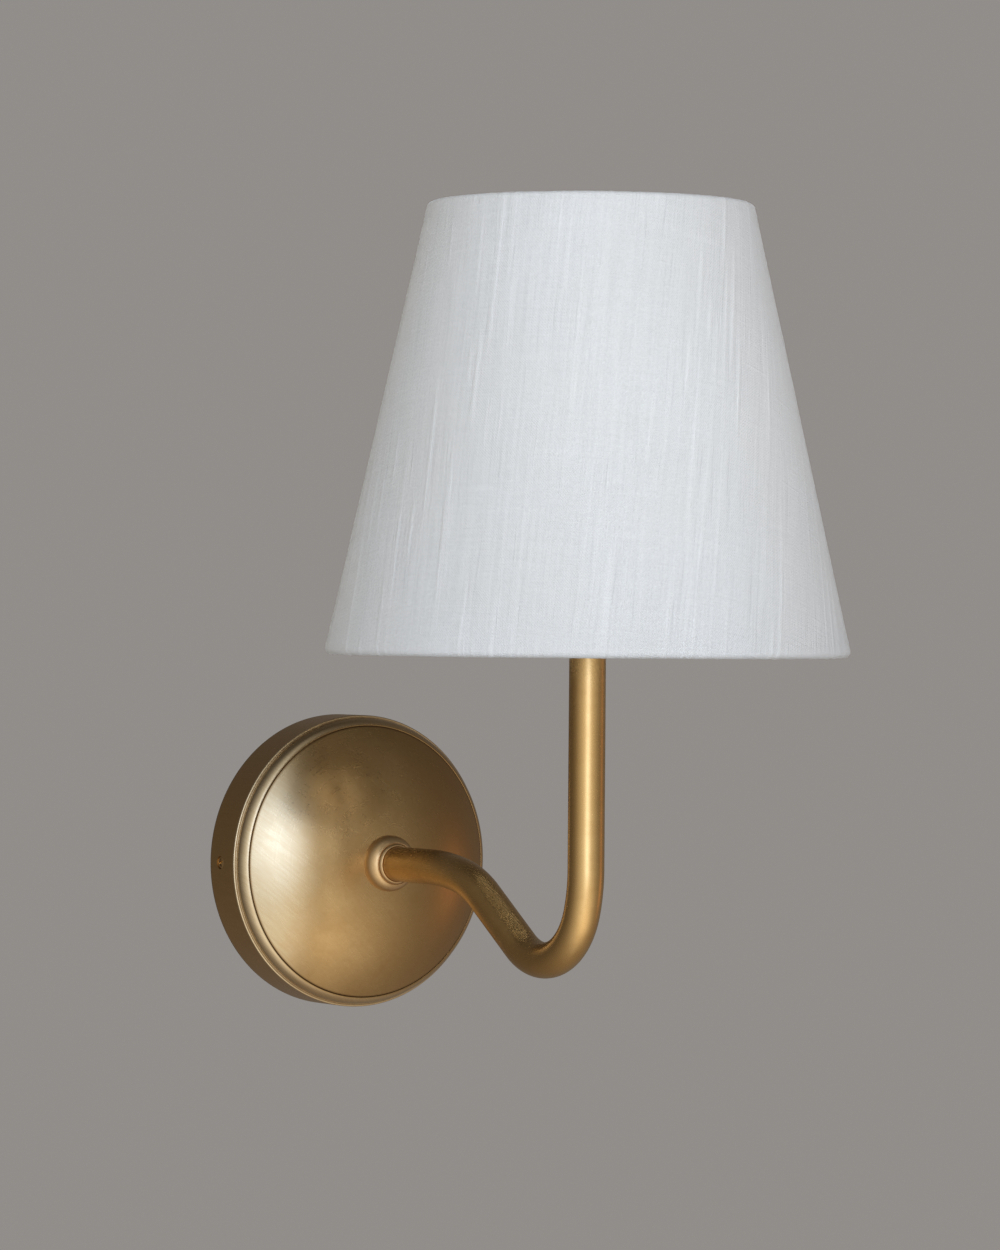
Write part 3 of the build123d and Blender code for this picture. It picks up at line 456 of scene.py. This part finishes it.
CAD_MAT = {
    "wall_bracket": "steel", "earth_washer": "nickel", "earth_ring_lug": "nickel", "earth_screw": "inner_brass",
    "terminal_block": "block", "terminal_barrels": "inner_brass", "terminal_screws": "nickel",
    "terminal_block_screws": "nickel", "backplate": "plate", "arm_ferrule": "ferrule", "arm_tube": "tube",
    "arm_root_bush": "inner_brass", "arm_nipple": "inner_brass", "arm_backing_plate": "steel", "arm_washer": "nickel",
    "arm_nut": "inner_brass", "cable_bush": "black", "arm_flex": "pvc", "live_wire": "brown", "neutral_wire": "blue",
    "earth_wire": "earth", "earth_lead": "earth", "arm_top_bush": "inner_brass", "lampholder_nipple": "inner_brass",
    "lampholder_cap": "brass_fit", "lampholder_grub_screw": "screw", "lampholder_locknut": "inner_brass",
    "lampholder_core": "ceramic", "lampholder_clamps": "inner_brass", "lampholder_clamp_screws": "nickel",
    "lampholder_leads": "brown", "lampholder_skirt": "brass_fit", "lampholder_screw_shell": "nickel",
    "lampholder_contact": "inner_brass", "side_screw_left": "screw", "side_screw_right": "screw",
    "shade_ring": "brass_fit", "shade_fabric": "linen", "shade_liner": "liner", "shade_lap": "linen",
    "shade_bottom_ring": "wire", "shade_top_ring": "wire", "shade_bottom_hem": "linen", "shade_top_hem": "linen",
    "shade_carrier_ring": "wire", "shade_spider": "wire", "lamp_cap": "alu", "lamp_insulator": "black",
    "lamp_contact": "inner_brass", "lamp_glass": "glass", "lamp_stem": "glass", "lamp_filaments": "filament",
    "lamp_supports": "nickel",
}
for name, ob in NODES.items():
    me = ob.data
    me.materials.clear()
    me.materials.append(MATS[CAD_MAT.get(name, "steel")])
    for p in me.polygons:
        p.use_smooth = True


# ----------------------------------------------------------- mesh helpers
def new_object(name, verts, faces, mat, body, smooth=True, sharp=None):
    me = bpy.data.meshes.new(name)
    me.from_pydata([tuple(v) for v in verts], [], faces)
    me.validate()
    me.materials.append(MATS[mat] if isinstance(mat, str) else mat)
    for p in me.polygons:
        p.use_smooth = smooth
    if sharp is not None:
        me.set_sharp_from_angle(angle=math.radians(sharp))
    ob = bpy.data.objects.new(name, me)
    SC.collection.objects.link(ob)
    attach(ob, body)
    return ob


def arc3(p0, p1, p2, n):
    """n points along the arc p0-p1-p2, without p0."""
    ax, ay = p0
    bx, by = p1
    cx, cy = p2
    dd = 2 * (ax * (by - cy) + bx * (cy - ay) + cx * (ay - by))
    if abs(dd) < 1e-12:
        return [(ax + (cx - ax) * t, ay + (cy - ay) * t) for t in np.linspace(0, 1, n + 1)[1:]]
    ux = ((ax * ax + ay * ay) * (by - cy) + (bx * bx + by * by) * (cy - ay) + (cx * cx + cy * cy) * (ay - by)) / dd
    uy = ((ax * ax + ay * ay) * (cx - bx) + (bx * bx + by * by) * (ax - cx) + (cx * cx + cy * cy) * (bx - ax)) / dd
    rr = math.hypot(ax - ux, ay - uy)
    t0, t1, t2 = (math.atan2(y - uy, x - ux) for x, y in (p0, p1, p2))

    def unwrap(t, ref, sign):
        while sign > 0 and t < ref:
            t += 2 * math.pi
        while sign < 0 and t > ref:
            t -= 2 * math.pi
        return t
    up = unwrap(t1, t0, 1), unwrap(unwrap(t2, t0, 1), t0, 1)
    sign = 1 if up[0] <= up[1] else -1
    t2 = unwrap(t2, t0, sign)
    return [(ux + rr * math.cos(t), uy + rr * math.sin(t)) for t in np.linspace(t0, t2, n + 1)[1:]]


def profile(start, segs):
    pts = [start]
    for s in segs:
        if s[0] == "L":
            pts.append((s[1], s[2]))
        else:
            pts += arc3(pts[-1], (s[1], s[2]), (s[3], s[4]), s[5])
    return pts


def lathe_y(pts, n):
    """Closed profile (r, depth) in mm turned about the Y axis, depth towards -Y."""
    verts, faces = [], []
    k = len(pts)
    for i in range(n):
        a = 2 * math.pi * i / n
        ca, sa = math.cos(a), math.sin(a)
        for rr, zz in pts:
            verts.append((rr * ca * MM, -zz * MM, rr * sa * MM))
    for i in range(n):
        j = (i + 1) % n
        for p in range(k):
            q = (p + 1) % k
            faces.append((i * k + p, i * k + q, j * k + q, j * k + p))
    return verts, faces


# -------------------------------------------------------------- the shade
cb_lo, cb_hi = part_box("shade_bottom_hem")
ct_lo, ct_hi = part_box("shade_top_hem")
BOT_Z, TOP_Z = cb_lo.z / MM, ct_hi.z / MM
HEM = (cb_hi.z - cb_lo.z) / 2 / MM
CONE_TOP_R = 61.8
SLOPE = (100.0 - CONE_TOP_R) / (TOP_Z - BOT_Z)
SIN_A = SLOPE / math.sqrt(1 + SLOPE ** 2)
COS_A = 1 / math.sqrt(1 + SLOPE ** 2)


def cone_r(z):
    return 100.0 - SLOPE * (z - BOT_Z)


# the rolled edges run smoothly into the cone
bot_c = (cone_r(BOT_Z + HEM) - HEM / COS_A, BOT_Z + HEM)
top_c = (cone_r(TOP_Z - HEM) - HEM / COS_A, TOP_Z - HEM)


# outline of the cover, from the raw edge turned in at the bottom, round the
# bottom ring, up the outside, round the top ring, to the raw edge at the top
out_n = (COS_A, SIN_A)
prof = []
liner_in = 1.35                      # cloth inside the liner, measured in from the cone
z_in = BOT_Z + 11.0
for z in np.linspace(z_in, BOT_Z + 2 * HEM + 0.6, 9):
    prof.append((cone_r(z) - liner_in - 0.25, z))
# round the bottom ring
a_start, a_end = math.radians(180 - 12), math.radians(360 + math.degrees(math.atan2(SIN_A, COS_A)))
for t in np.linspace(a_start, a_end, 18):
    prof.append((bot_c[0] + HEM * math.cos(t), bot_c[1] + HEM * math.sin(t)))
z0c = bot_c[1] + HEM * SIN_A + 0.4
z1c = top_c[1] + HEM * SIN_A - 0.6
rows_body = 150
for z in np.linspace(z0c, z1c, rows_body):
    prof.append((cone_r(z) + 0.02, z))
a_start, a_end = math.atan2(SIN_A, COS_A), math.radians(180 + 12)
for t in np.linspace(a_start, a_end, 16):
    prof.append((top_c[0] + HEM * math.cos(t), top_c[1] + HEM * math.sin(t)))
for z in np.linspace(TOP_Z - 2 * HEM - 0.8, TOP_Z - 11.0, 8):
    prof.append((cone_r(z) - liner_in - 0.25, z))
prof = np.array(prof)
seg = np.r_[0, np.cumsum(np.hypot(*np.diff(prof, axis=0).T))]
# where the cover's own length crosses the cone, for the flat cloth's coordinates
i_mid = 9 + 18 + rows_body // 2
apex_to_mid = cone_r(prof[i_mid][1]) / SIN_A
GRAIN = math.radians(213.0)          # straight grain faces here, the lap is opposite
LAP = GRAIN + math.pi
NU = 900
rng = random.Random(7)


def build_cover():
    phis = np.linspace(0, 2 * math.pi, NU, endpoint=False)
    # a smooth uneven field, periodic round the shade, for the small waves in a laminated cloth
    terms = []
    for _ in range(16):
        kphi = rng.randint(2, 26)
        kz = rng.uniform(0.2, 4.2)
        terms.append((kphi, kz, rng.uniform(0, 6.28), rng.uniform(0.3, 1.0) / (1 + 0.08 * kphi)))
    P, S = np.meshgrid(phis, np.arange(len(prof)), indexing="ij")
    zz = prof[S, 1]
    rr = prof[S, 0].copy()
    v = (zz - BOT_Z) / (TOP_Z - BOT_Z)
    f = np.zeros_like(rr)
    for kphi, kz, ph, am in terms:
        f += am * np.sin(kphi * P + kz * 2 * math.pi * v + ph)
    f /= 3.0
    body = (S >= 27) & (S < 27 + rows_body)
    # cloth over the wire rings: outside only, the turn-in is held by the liner
    nrm = np.zeros(len(prof))
    nrm[:] = 0.0
    # profile normals
    tang = np.gradient(prof, axis=0)
    tang /= np.linalg.norm(tang, axis=1)[:, None]
    normal = np.stack([tang[:, 1], -tang[:, 0]], 1)
    s_len = seg[S] - seg[i_mid]
    L = apex_to_mid - s_len
    th = np.angle(np.exp(1j * (P - GRAIN))) * SIN_A
    FX, FY = L * np.sin(th), L * np.cos(th)
    slub = np.zeros_like(rr)
    for i in range(330):
        x0, y0 = rng.uniform(-FX.max(), FX.max()), rng.uniform(FY.min(), FY.max())
        if i % 4 == 3:                                  # along the weft: shorter, rarer
            ln, wd, am = rng.uniform(8, 30), rng.uniform(0.45, 0.8), rng.uniform(0.25, 0.6)
            da, db = (FX - x0), (FY - y0 - rng.uniform(-0.01, 0.01) * (FX - x0))
        else:
            ln, wd, am = rng.uniform(14, 75), rng.uniform(0.40, 0.85), rng.uniform(0.3, 1.0)
            da, db = (FY - y0), (FX - x0 - rng.uniform(-0.012, 0.012) * (FY - y0))
        near = (np.abs(db) < 4 * wd) & (np.abs(da) < 1.6 * ln)
        a_, b_ = da[near], db[near]
        slub[near] = np.maximum(slub[near], am * np.exp(-0.5 * (b_ / wd) ** 2) / (1 + np.exp((np.abs(a_) - ln / 2) / (0.08 * ln))))
    disp = 0.07 * f + 0.12 * slub
    # gathered look of the rolled edge: tiny creases that run across the roll
    crease = np.zeros_like(f)
    for _ in range(90):
        c = rng.uniform(0, 2 * math.pi)
        w = rng.uniform(0.004, 0.012)
        amp = rng.uniform(0.03, 0.10)
        dphi = np.angle(np.exp(1j * (P - c)))
        crease += amp * np.exp(-(dphi / w) ** 2)
    roll_b = (S >= 9) & (S < 30)
    roll_t = (S >= 27 + rows_body - 3) & (S < 27 + rows_body + 16)
    disp = disp + np.where(roll_b | roll_t, crease, 0.0) * 0.8
    # lap: the outer layer ends along a straight generator
    dl = np.angle(np.exp(1j * (P - LAP)))
    arc_w = dl * rr
    lap_h = 0.45 / (1 + np.exp(np.clip((np.abs(arc_w) - 5.5) / 0.22, -60.0, 60.0)))
    out_side = (S >= 18) & (S < 27 + rows_body + 8)
    disp = disp + np.where(out_side, lap_h, 0.0)
    rr2 = rr + disp * normal[S, 0]
    zz2 = zz + disp * normal[S, 1]
    # raw edges wander a little
    edge_b = (S < 5)
    edge_t = (S >= len(prof) - 4)
    wav = 0.35 * np.sin(7 * P + 1.0) + 0.25 * np.sin(19 * P + 2.0) + 0.15 * np.sin(53 * P)
    zz2 = zz2 + np.where(edge_b, wav * (5 - S) / 5, 0.0)
    zz2 = zz2 + np.where(edge_t, wav * (S - (len(prof) - 5)) / 4 * 0.8, 0.0)
    co = np.stack([rr2 * np.cos(P) * MM, rr2 * np.sin(P) * MM - PROJ * MM, zz2 * MM], -1)
    flat = np.stack([FX, FY, np.zeros_like(L)], -1)
    return phis, co, flat, slub


phis, co, flat, slub = build_cover()
K = len(prof)
verts = co.reshape(-1, 3)
faces = []
for i in range(NU):
    j = (i + 1) % NU
    for p in range(K - 1):
        faces.append((i * K + p, j * K + p, j * K + p + 1, i * K + p + 1))
cover = new_object("linen_cover", verts, faces, "linen", "shade")
at = cover.data.attributes.new("cloth_co", "FLOAT_VECTOR", "POINT")
at.data.foreach_set("vector", flat.reshape(-1, 3).astype(np.float32).ravel())
at = cover.data.attributes.new("slub", "FLOAT", "POINT")
at.data.foreach_set("value", slub.astype(np.float32).ravel())
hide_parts("shade_fabric", "shade_bottom_hem", "shade_top_hem", "shade_lap")


# ------------------------------------------------- backplate, ferrule, tube
def sph(rr, rad, apex):
    return apex - rad + math.sqrt(rad * rad - rr * rr)


DS, DA = 95.2, 41.42
RI, AI = DS - 1.2, DA - 1.2
SD = 18.8
plate_pts = profile((58.0, 0.0), [
    ("L", 59.05, 0.0), ("L", 59.2, 0.2), ("L", 59.2, 1.2), ("L", 59.2, 9.0), ("L", 59.2, SD - 1.4), ("L", 59.2, SD - 0.45),
    ("A", 59.07, SD - 0.13, 58.75, SD, 6), ("L", 58.60, SD + 0.01), ("L", 58.45, SD + 0.02),
    ("A", 58.12, SD - 0.05, 57.95, SD + 0.25, 6),
    ("A", 57.35, SD + 3.15, 55.45, SD + 5.15, 22),
    ("A", 55.2, SD + 5.15, 54.95, SD + 4.95, 6),
    ("A", 54.83, SD + 5.2, 54.6, sph(54.6, DS, DA), 5),
    ("A", 30.0, sph(30.0, DS, DA), 5.2, sph(5.2, DS, DA), 60),
    ("L", 5.2, sph(5.2, RI, AI)),
    ("A", 30.0, sph(30.0, RI, AI), 53.6, sph(53.6, RI, AI), 24),
    ("A", 55.9, SD + 2.5, 56.75, SD - 1.2, 8),
    ("A", 57.75, SD - 1.55, 58.0, SD - 2.2, 4),
])
verts, faces = lathe_y(plate_pts, 400)
plate = new_object("backplate_shell", verts, faces, "plate", "fitting")
# the two screw holes in the side wall
cut = bpy.data.meshes.new("cut")
bm = bmesh.new()
for sx in (-1, 1):
    bmesh.ops.create_cone(bm, cap_ends=True, segments=48, radius1=2.6 * MM, radius2=2.6 * MM, depth=8 * MM,
                          matrix=Matrix.Translation((sx * 59.2 * MM, -8.0 * MM, 0)) @ Matrix.Rotation(math.pi / 2, 4, "Y"))
bm.to_mesh(cut)
bm.free()
cutter = bpy.data.objects.new("cut", cut)
SC.collection.objects.link(cutter)
mod = plate.modifiers.new("holes", "BOOLEAN")
mod.operation, mod.object, mod.solver = "DIFFERENCE", cutter, "EXACT"
bpy.context.view_layer.update()
dg = bpy.context.evaluated_depsgraph_get()
done = bpy.data.meshes.new_from_object(plate.evaluated_get(dg))
plate.modifiers.clear()
plate.data = done
bpy.data.objects.remove(cutter)
for p in plate.data.polygons:
    p.use_smooth = True
plate.data.materials.clear()
plate.data.materials.append(MATS["plate"])
plate.data.set_sharp_from_angle(angle=math.radians(40))
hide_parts("backplate")

TR = 7.0
fz, fi, fm = sph(11.3, DS, DA) + 0.02, sph(TR, DS, DA) + 0.02, sph(9.1, DS, DA) + 0.02
fer_pts = profile((TR + 0.03, fi), [
    ("A", 9.1, fm, 11.2, fz, 8), ("L", 11.28, fz + 0.08), ("L", 11.3, fz + 0.25),
    ("A", 10.95, 43.6, 8.75, 46.35, 22), ("A", 8.45, 46.45, 8.35, 46.25, 5), ("A", 8.2, 46.15, 8.1, 46.3, 5),
    ("A", 8.0, 47.2, 7.65, 47.75, 8), ("A", 7.4, 47.95, TR + 0.03, 47.7, 6)])
verts, faces = lathe_y(fer_pts, 192)
ferrule = new_object("ferrule_collar", verts, faces, "ferrule", "fitting", sharp=45)
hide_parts("arm_ferrule")


def arm_line(start_u, top_z):
    """Points (u, z) down the arm's centreline and the heading at each."""
    L1_, L2_ = 73.0, 31.15
    R0, A0, R1, A1, R2, B2, R3 = 105.6, 12.32, 47.6, 34.42, 27.94, 72.52, 55.7
    pts = []

    def bend(uu, zz, rad, a0, a1, n):
        s = 1 if a1 > a0 else -1
        cu = uu - s * rad * math.sin(math.radians(a0))
        cz = zz - s * rad * math.cos(math.radians(a0))
        res = []
        for a in np.linspace(a0, a1, n + 1)[1:]:
            res.append((cu + s * rad * math.sin(math.radians(a)), cz + s * rad * math.cos(math.radians(a)), a))
        return res
    chain = bend(L1_, 0.0, R0, 0.0, A0, 14)
    chain += bend(chain[-1][0], chain[-1][1], R1, A0, A1, 14)
    uu, zz, _ = chain[-1]
    for t in np.linspace(0, 1, 7)[1:]:
        chain.append((uu + L2_ * t * math.cos(math.radians(A1)), zz - L2_ * t * math.sin(math.radians(A1)), A1))
    chain += bend(chain[-1][0], chain[-1][1], R2, A1, -B2, 64)
    chain += bend(chain[-1][0], chain[-1][1], R3, -B2, -90.0, 14)
    shift = PROJ - chain[-1][0]
    pts = [(x, 0.0, 0.0) for x in np.linspace(start_u, L1_ + shift, 12)]
    pts += [(x + shift, z_, a) for x, z_, a in chain]
    uu, zz, _ = pts[-1]
    for z_ in np.linspace(zz, top_z, 26)[1:]:
        pts.append((uu, z_, -90.0))
    return pts


def tube_mesh(pts, ro, ri, n):
    verts, faces, tco = [], [], []
    rings = []
    s = 0.0
    for i, (uu, zz, a) in enumerate(pts):
        if i:
            s += math.hypot(uu - pts[i - 1][0], zz - pts[i - 1][1])
        ha = math.radians(a)
        nu, nz = math.sin(ha), math.cos(ha)       # the side that faces up on the first straight
        rings.append((uu, zz, nu, nz, s))
    loops = [(ro, g) for g in rings] + [(ri, g) for g in reversed(rings)]
    for rad, (uu, zz, nu, nz, s) in loops:
        for k in range(n):
            t = 2 * math.pi * k / n
            o1, o2 = rad * math.cos(t), rad * math.sin(t)
            verts.append((o2 * MM, -(uu + o1 * nu) * MM, (zz + o1 * nz) * MM))
            tco.append((o1, o2, s))
    m_ = len(loops)
    for i in range(m_):
        j = (i + 1) % m_
        for k in range(n):
            q = (k + 1) % n
            faces.append((i * n + k, i * n + q, j * n + q, j * n + k))
    return verts, faces, tco


pts = arm_line(41.6, 97.0)
verts, faces, tco = tube_mesh(pts, TR, 6.0, 96)
arm = new_object("swan_neck_arm", verts, faces, "tube", "fitting", sharp=40)
at = arm.data.attributes.new("tube_co", "FLOAT_VECTOR", "POINT")
at.data.foreach_set("vector", np.array(tco, np.float32).ravel())
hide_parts("arm_tube")

# make outside normals point out on everything made here
for ob in (plate, ferrule, arm, cover):
    bm = bmesh.new()
    bm.from_mesh(ob.data)
    if ob is not cover:
        bmesh.ops.recalc_face_normals(bm, faces=bm.faces)
    else:
        f0 = bm.faces[:]
        mid = f0[(K - 1) // 2]
        c = mid.calc_center_median()
        if Vector((c.x, c.y + PROJ * MM, 0)).dot(mid.normal) < 0:
            bmesh.ops.reverse_faces(bm, faces=bm.faces)
    bm.to_mesh(ob.data)
    bm.free()

# ------------------------------------------------------ floor, light, world
me = bpy.data.meshes.new("floor")
n = 96
R_FLOOR = 1.6
FLOOR_Z = -0.42
cx, cy = 0.0, -0.12
vs = [(cx, cy, FLOOR_Z)]
fs = []
for ring_i, rr in enumerate((0.4, 0.9, R_FLOOR)):
    for k in range(n):
        vs.append((cx + rr * math.cos(2 * math.pi * k / n), cy + rr * math.sin(2 * math.pi * k / n), FLOOR_Z))
for k in range(n):
    fs.append((0, 1 + k, 1 + (k + 1) % n))
for ring_i in range(2):
    for k in range(n):
        a_, b_ = 1 + ring_i * n, 1 + (ring_i + 1) * n
        fs.append((a_ + k, b_ + k, b_ + (k + 1) % n, a_ + (k + 1) % n))
me.from_pydata(vs, [], fs)
floor = bpy.data.objects.new("floor", me)
SC.collection.objects.link(floor)
fm_ = Mat("floor_pale")
fc = fm_.coord()
fm_.base(fm_.mix(fm_.maprange(fm_.noise(fc, 6.0), 0.4, 0.6, 0.0, 1.0, True), (0.60, 0.59, 0.57), (0.63, 0.62, 0.60)))
fm_.setp(roughness=0.75)
x, y, z = fm_.sep(fc)
dist = fm_.vmath("LENGTH", fm_.comb(fm_.math("SUBTRACT", x, cx), fm_.math("SUBTRACT", y, cy), 0.0))
tr = fm_.node("ShaderNodeBsdfTransparent")
mx = fm_.node("ShaderNodeMixShader")
fm_.link(fm_.maprange(dist, 0.75, R_FLOOR - 0.02, 0.0, 1.0, True), mx.inputs[0])
fm_.link(fm_.p.outputs[0], mx.inputs[1])
fm_.link(tr.outputs[0], mx.inputs[2])
fm_.link(mx.outputs[0], fm_.out.inputs["Surface"])
me.materials.append(fm_.m)
floor.visible_glossy = False


world = bpy.data.worlds.new("studio")
SC.world = world
world.use_nodes = True
wt = world.node_tree
wt.nodes.clear()


def wmath(op, a, b=0.0, clamp=False):
    n = wt.nodes.new("ShaderNodeMath")
    n.operation, n.use_clamp = op, clamp
    for i, x in enumerate((a, b)):
        if isinstance(x, (int, float)):
            n.inputs[i].default_value = x
        else:
            wt.links.new(x, n.inputs[i])
    return n.outputs[0]


def wscale(col, f):
    n = wt.nodes.new("ShaderNodeVectorMath")
    n.operation = "SCALE"
    if isinstance(col, tuple):
        n.inputs[0].default_value = col
    else:
        wt.links.new(col, n.inputs[0])
    wt.links.new(f, n.inputs["Scale"])
    return n.outputs[0]


def wadd(a, b):
    n = wt.nodes.new("ShaderNodeVectorMath")
    n.operation = "ADD"
    wt.links.new(a, n.inputs[0])
    wt.links.new(b, n.inputs[1])
    return n.outputs[0]


tc = wt.nodes.new("ShaderNodeTexCoord")
sp = wt.nodes.new("ShaderNodeSeparateXYZ")
wt.links.new(tc.outputs["Generated"], sp.inputs[0])
AZ = wmath("ARCTAN2", sp.outputs[0], wmath("MULTIPLY", sp.outputs[1], -1.0))   # 0 straight out from the wall, + to the right
EL = wmath("ARCSINE", sp.outputs[2])


def lobe(az, el, s_az, s_el, amount):
    """A soft box with blurred edges: a bell in azimuth and elevation (degrees)."""
    u_ = wmath("DIVIDE", wmath("SUBTRACT", AZ, math.radians(az)), math.radians(s_az))
    v_ = wmath("DIVIDE", wmath("SUBTRACT", EL, math.radians(el)), math.radians(s_el))
    q = wmath("ADD", wmath("MULTIPLY", u_, u_), wmath("MULTIPLY", v_, v_))
    return wmath("MULTIPLY", wmath("EXPONENT", wmath("MULTIPLY", q, -0.5)), amount)


LIGHTS = [
    # az, el, spread az, spread el, amount, colour
    (-27.0, 10.0, 9.0, 15.0, 2.55, (0.80, 1.05, 1.62)),       # window-like soft box
    (-31.0, 5.0, 36.0, 44.0, 1.23, (0.955, 0.985, 0.965)),      # its wide bloom
    (-6.0, -43.0, 34.0, 16.0, 0.86, (1.03, 0.97, 0.88)),    # light thrown up from a table
    (75.0, -9.0, 5.0, 7.5, 0.80, (1.00, 0.48, 0.22)),        # a warm thing low on the right
    (180.0, 34.0, 60.0, 22.0, 0.06, (1.00, 0.95, 0.88)),     # dim far side
    (-180.0, 34.0, 60.0, 22.0, 0.06, (1.00, 0.95, 0.88)),
]
down = wmath("MULTIPLY", wmath("SUBTRACT", 1.0, sp.outputs[2]), 0.5)
total = wscale((0.345, 0.29, 0.23), wmath("ADD", 0.18, down))
front = wmath("MULTIPLY", wmath("SUBTRACT", 1.0, sp.outputs[1]), 0.5, True)
total = wadd(total, wscale((0.05, 0.05, 0.05), front))
for az, el, sa, se, am, colr in LIGHTS:
    total = wadd(total, wscale(colr, lobe(az, el, sa, se, am)))
# less comes from the side the lamp is fixed to
shut = wmath("SUBTRACT", 1.0, wmath("MULTIPLY", wmath("MAXIMUM", sp.outputs[1], 0.0), 0.45))
total = wscale(total, shut)
# what a pale wall would give back to the shade from behind: soft, and not itself to be seen
ld = bpy.data.lights.new("wall_bounce", "AREA")
ld.shape, ld.size, ld.size_y = "RECTANGLE", 0.42, 0.30
ld.energy, ld.color = 0.10, (1.0, 0.95, 0.88)
bounce = bpy.data.objects.new("wall_bounce", ld)
SC.collection.objects.link(bounce)
bounce.location = (0.0, 0.012, 0.20)
bounce.rotation_mode = "QUATERNION"
bounce.rotation_quaternion = Vector((0.0, -1.0, 0.0)).to_track_quat("-Z", "Y")
bounce.visible_camera = False
bounce.visible_glossy = False

# daylight that has come through the cloth and falls on the front of the liner, inside the shade
pd = bpy.data.lights.new("inside_glow", "AREA")
pd.shape, pd.size, pd.size_y = "RECTANGLE", 0.080, 0.090
pd.energy, pd.color = 0.080, (1.0, 0.98, 0.94)
glow = bpy.data.objects.new("inside_glow", pd)
SC.collection.objects.link(glow)
glow.location = (0.0, -0.218, 0.155)
glow.rotation_euler = (math.radians(-90.0), 0.0, 0.0)
glow.visible_camera = False
glow.visible_glossy = False

wo = wt.nodes.new("ShaderNodeOutputWorld")
bg_cam = wt.nodes.new("ShaderNodeBackground")
bg_cam.inputs[0].default_value = (0.285, 0.268, 0.255, 1)
bg_env = wt.nodes.new("ShaderNodeBackground")
wt.links.new(total, bg_env.inputs[0])
bg_env.inputs[1].default_value = 1.0
lp = wt.nodes.new("ShaderNodeLightPath")
mxs = wt.nodes.new("ShaderNodeMixShader")
wt.links.new(lp.outputs["Is Camera Ray"], mxs.inputs[0])
wt.links.new(bg_env.outputs[0], mxs.inputs[1])
wt.links.new(bg_cam.outputs[0], mxs.inputs[2])
wt.links.new(mxs.outputs[0], wo.inputs[0])

SC.view_settings.view_transform = "Standard"
SC.view_settings.look = "None"
SC.view_settings.exposure = 0.0
SC.view_settings.gamma = 1.0
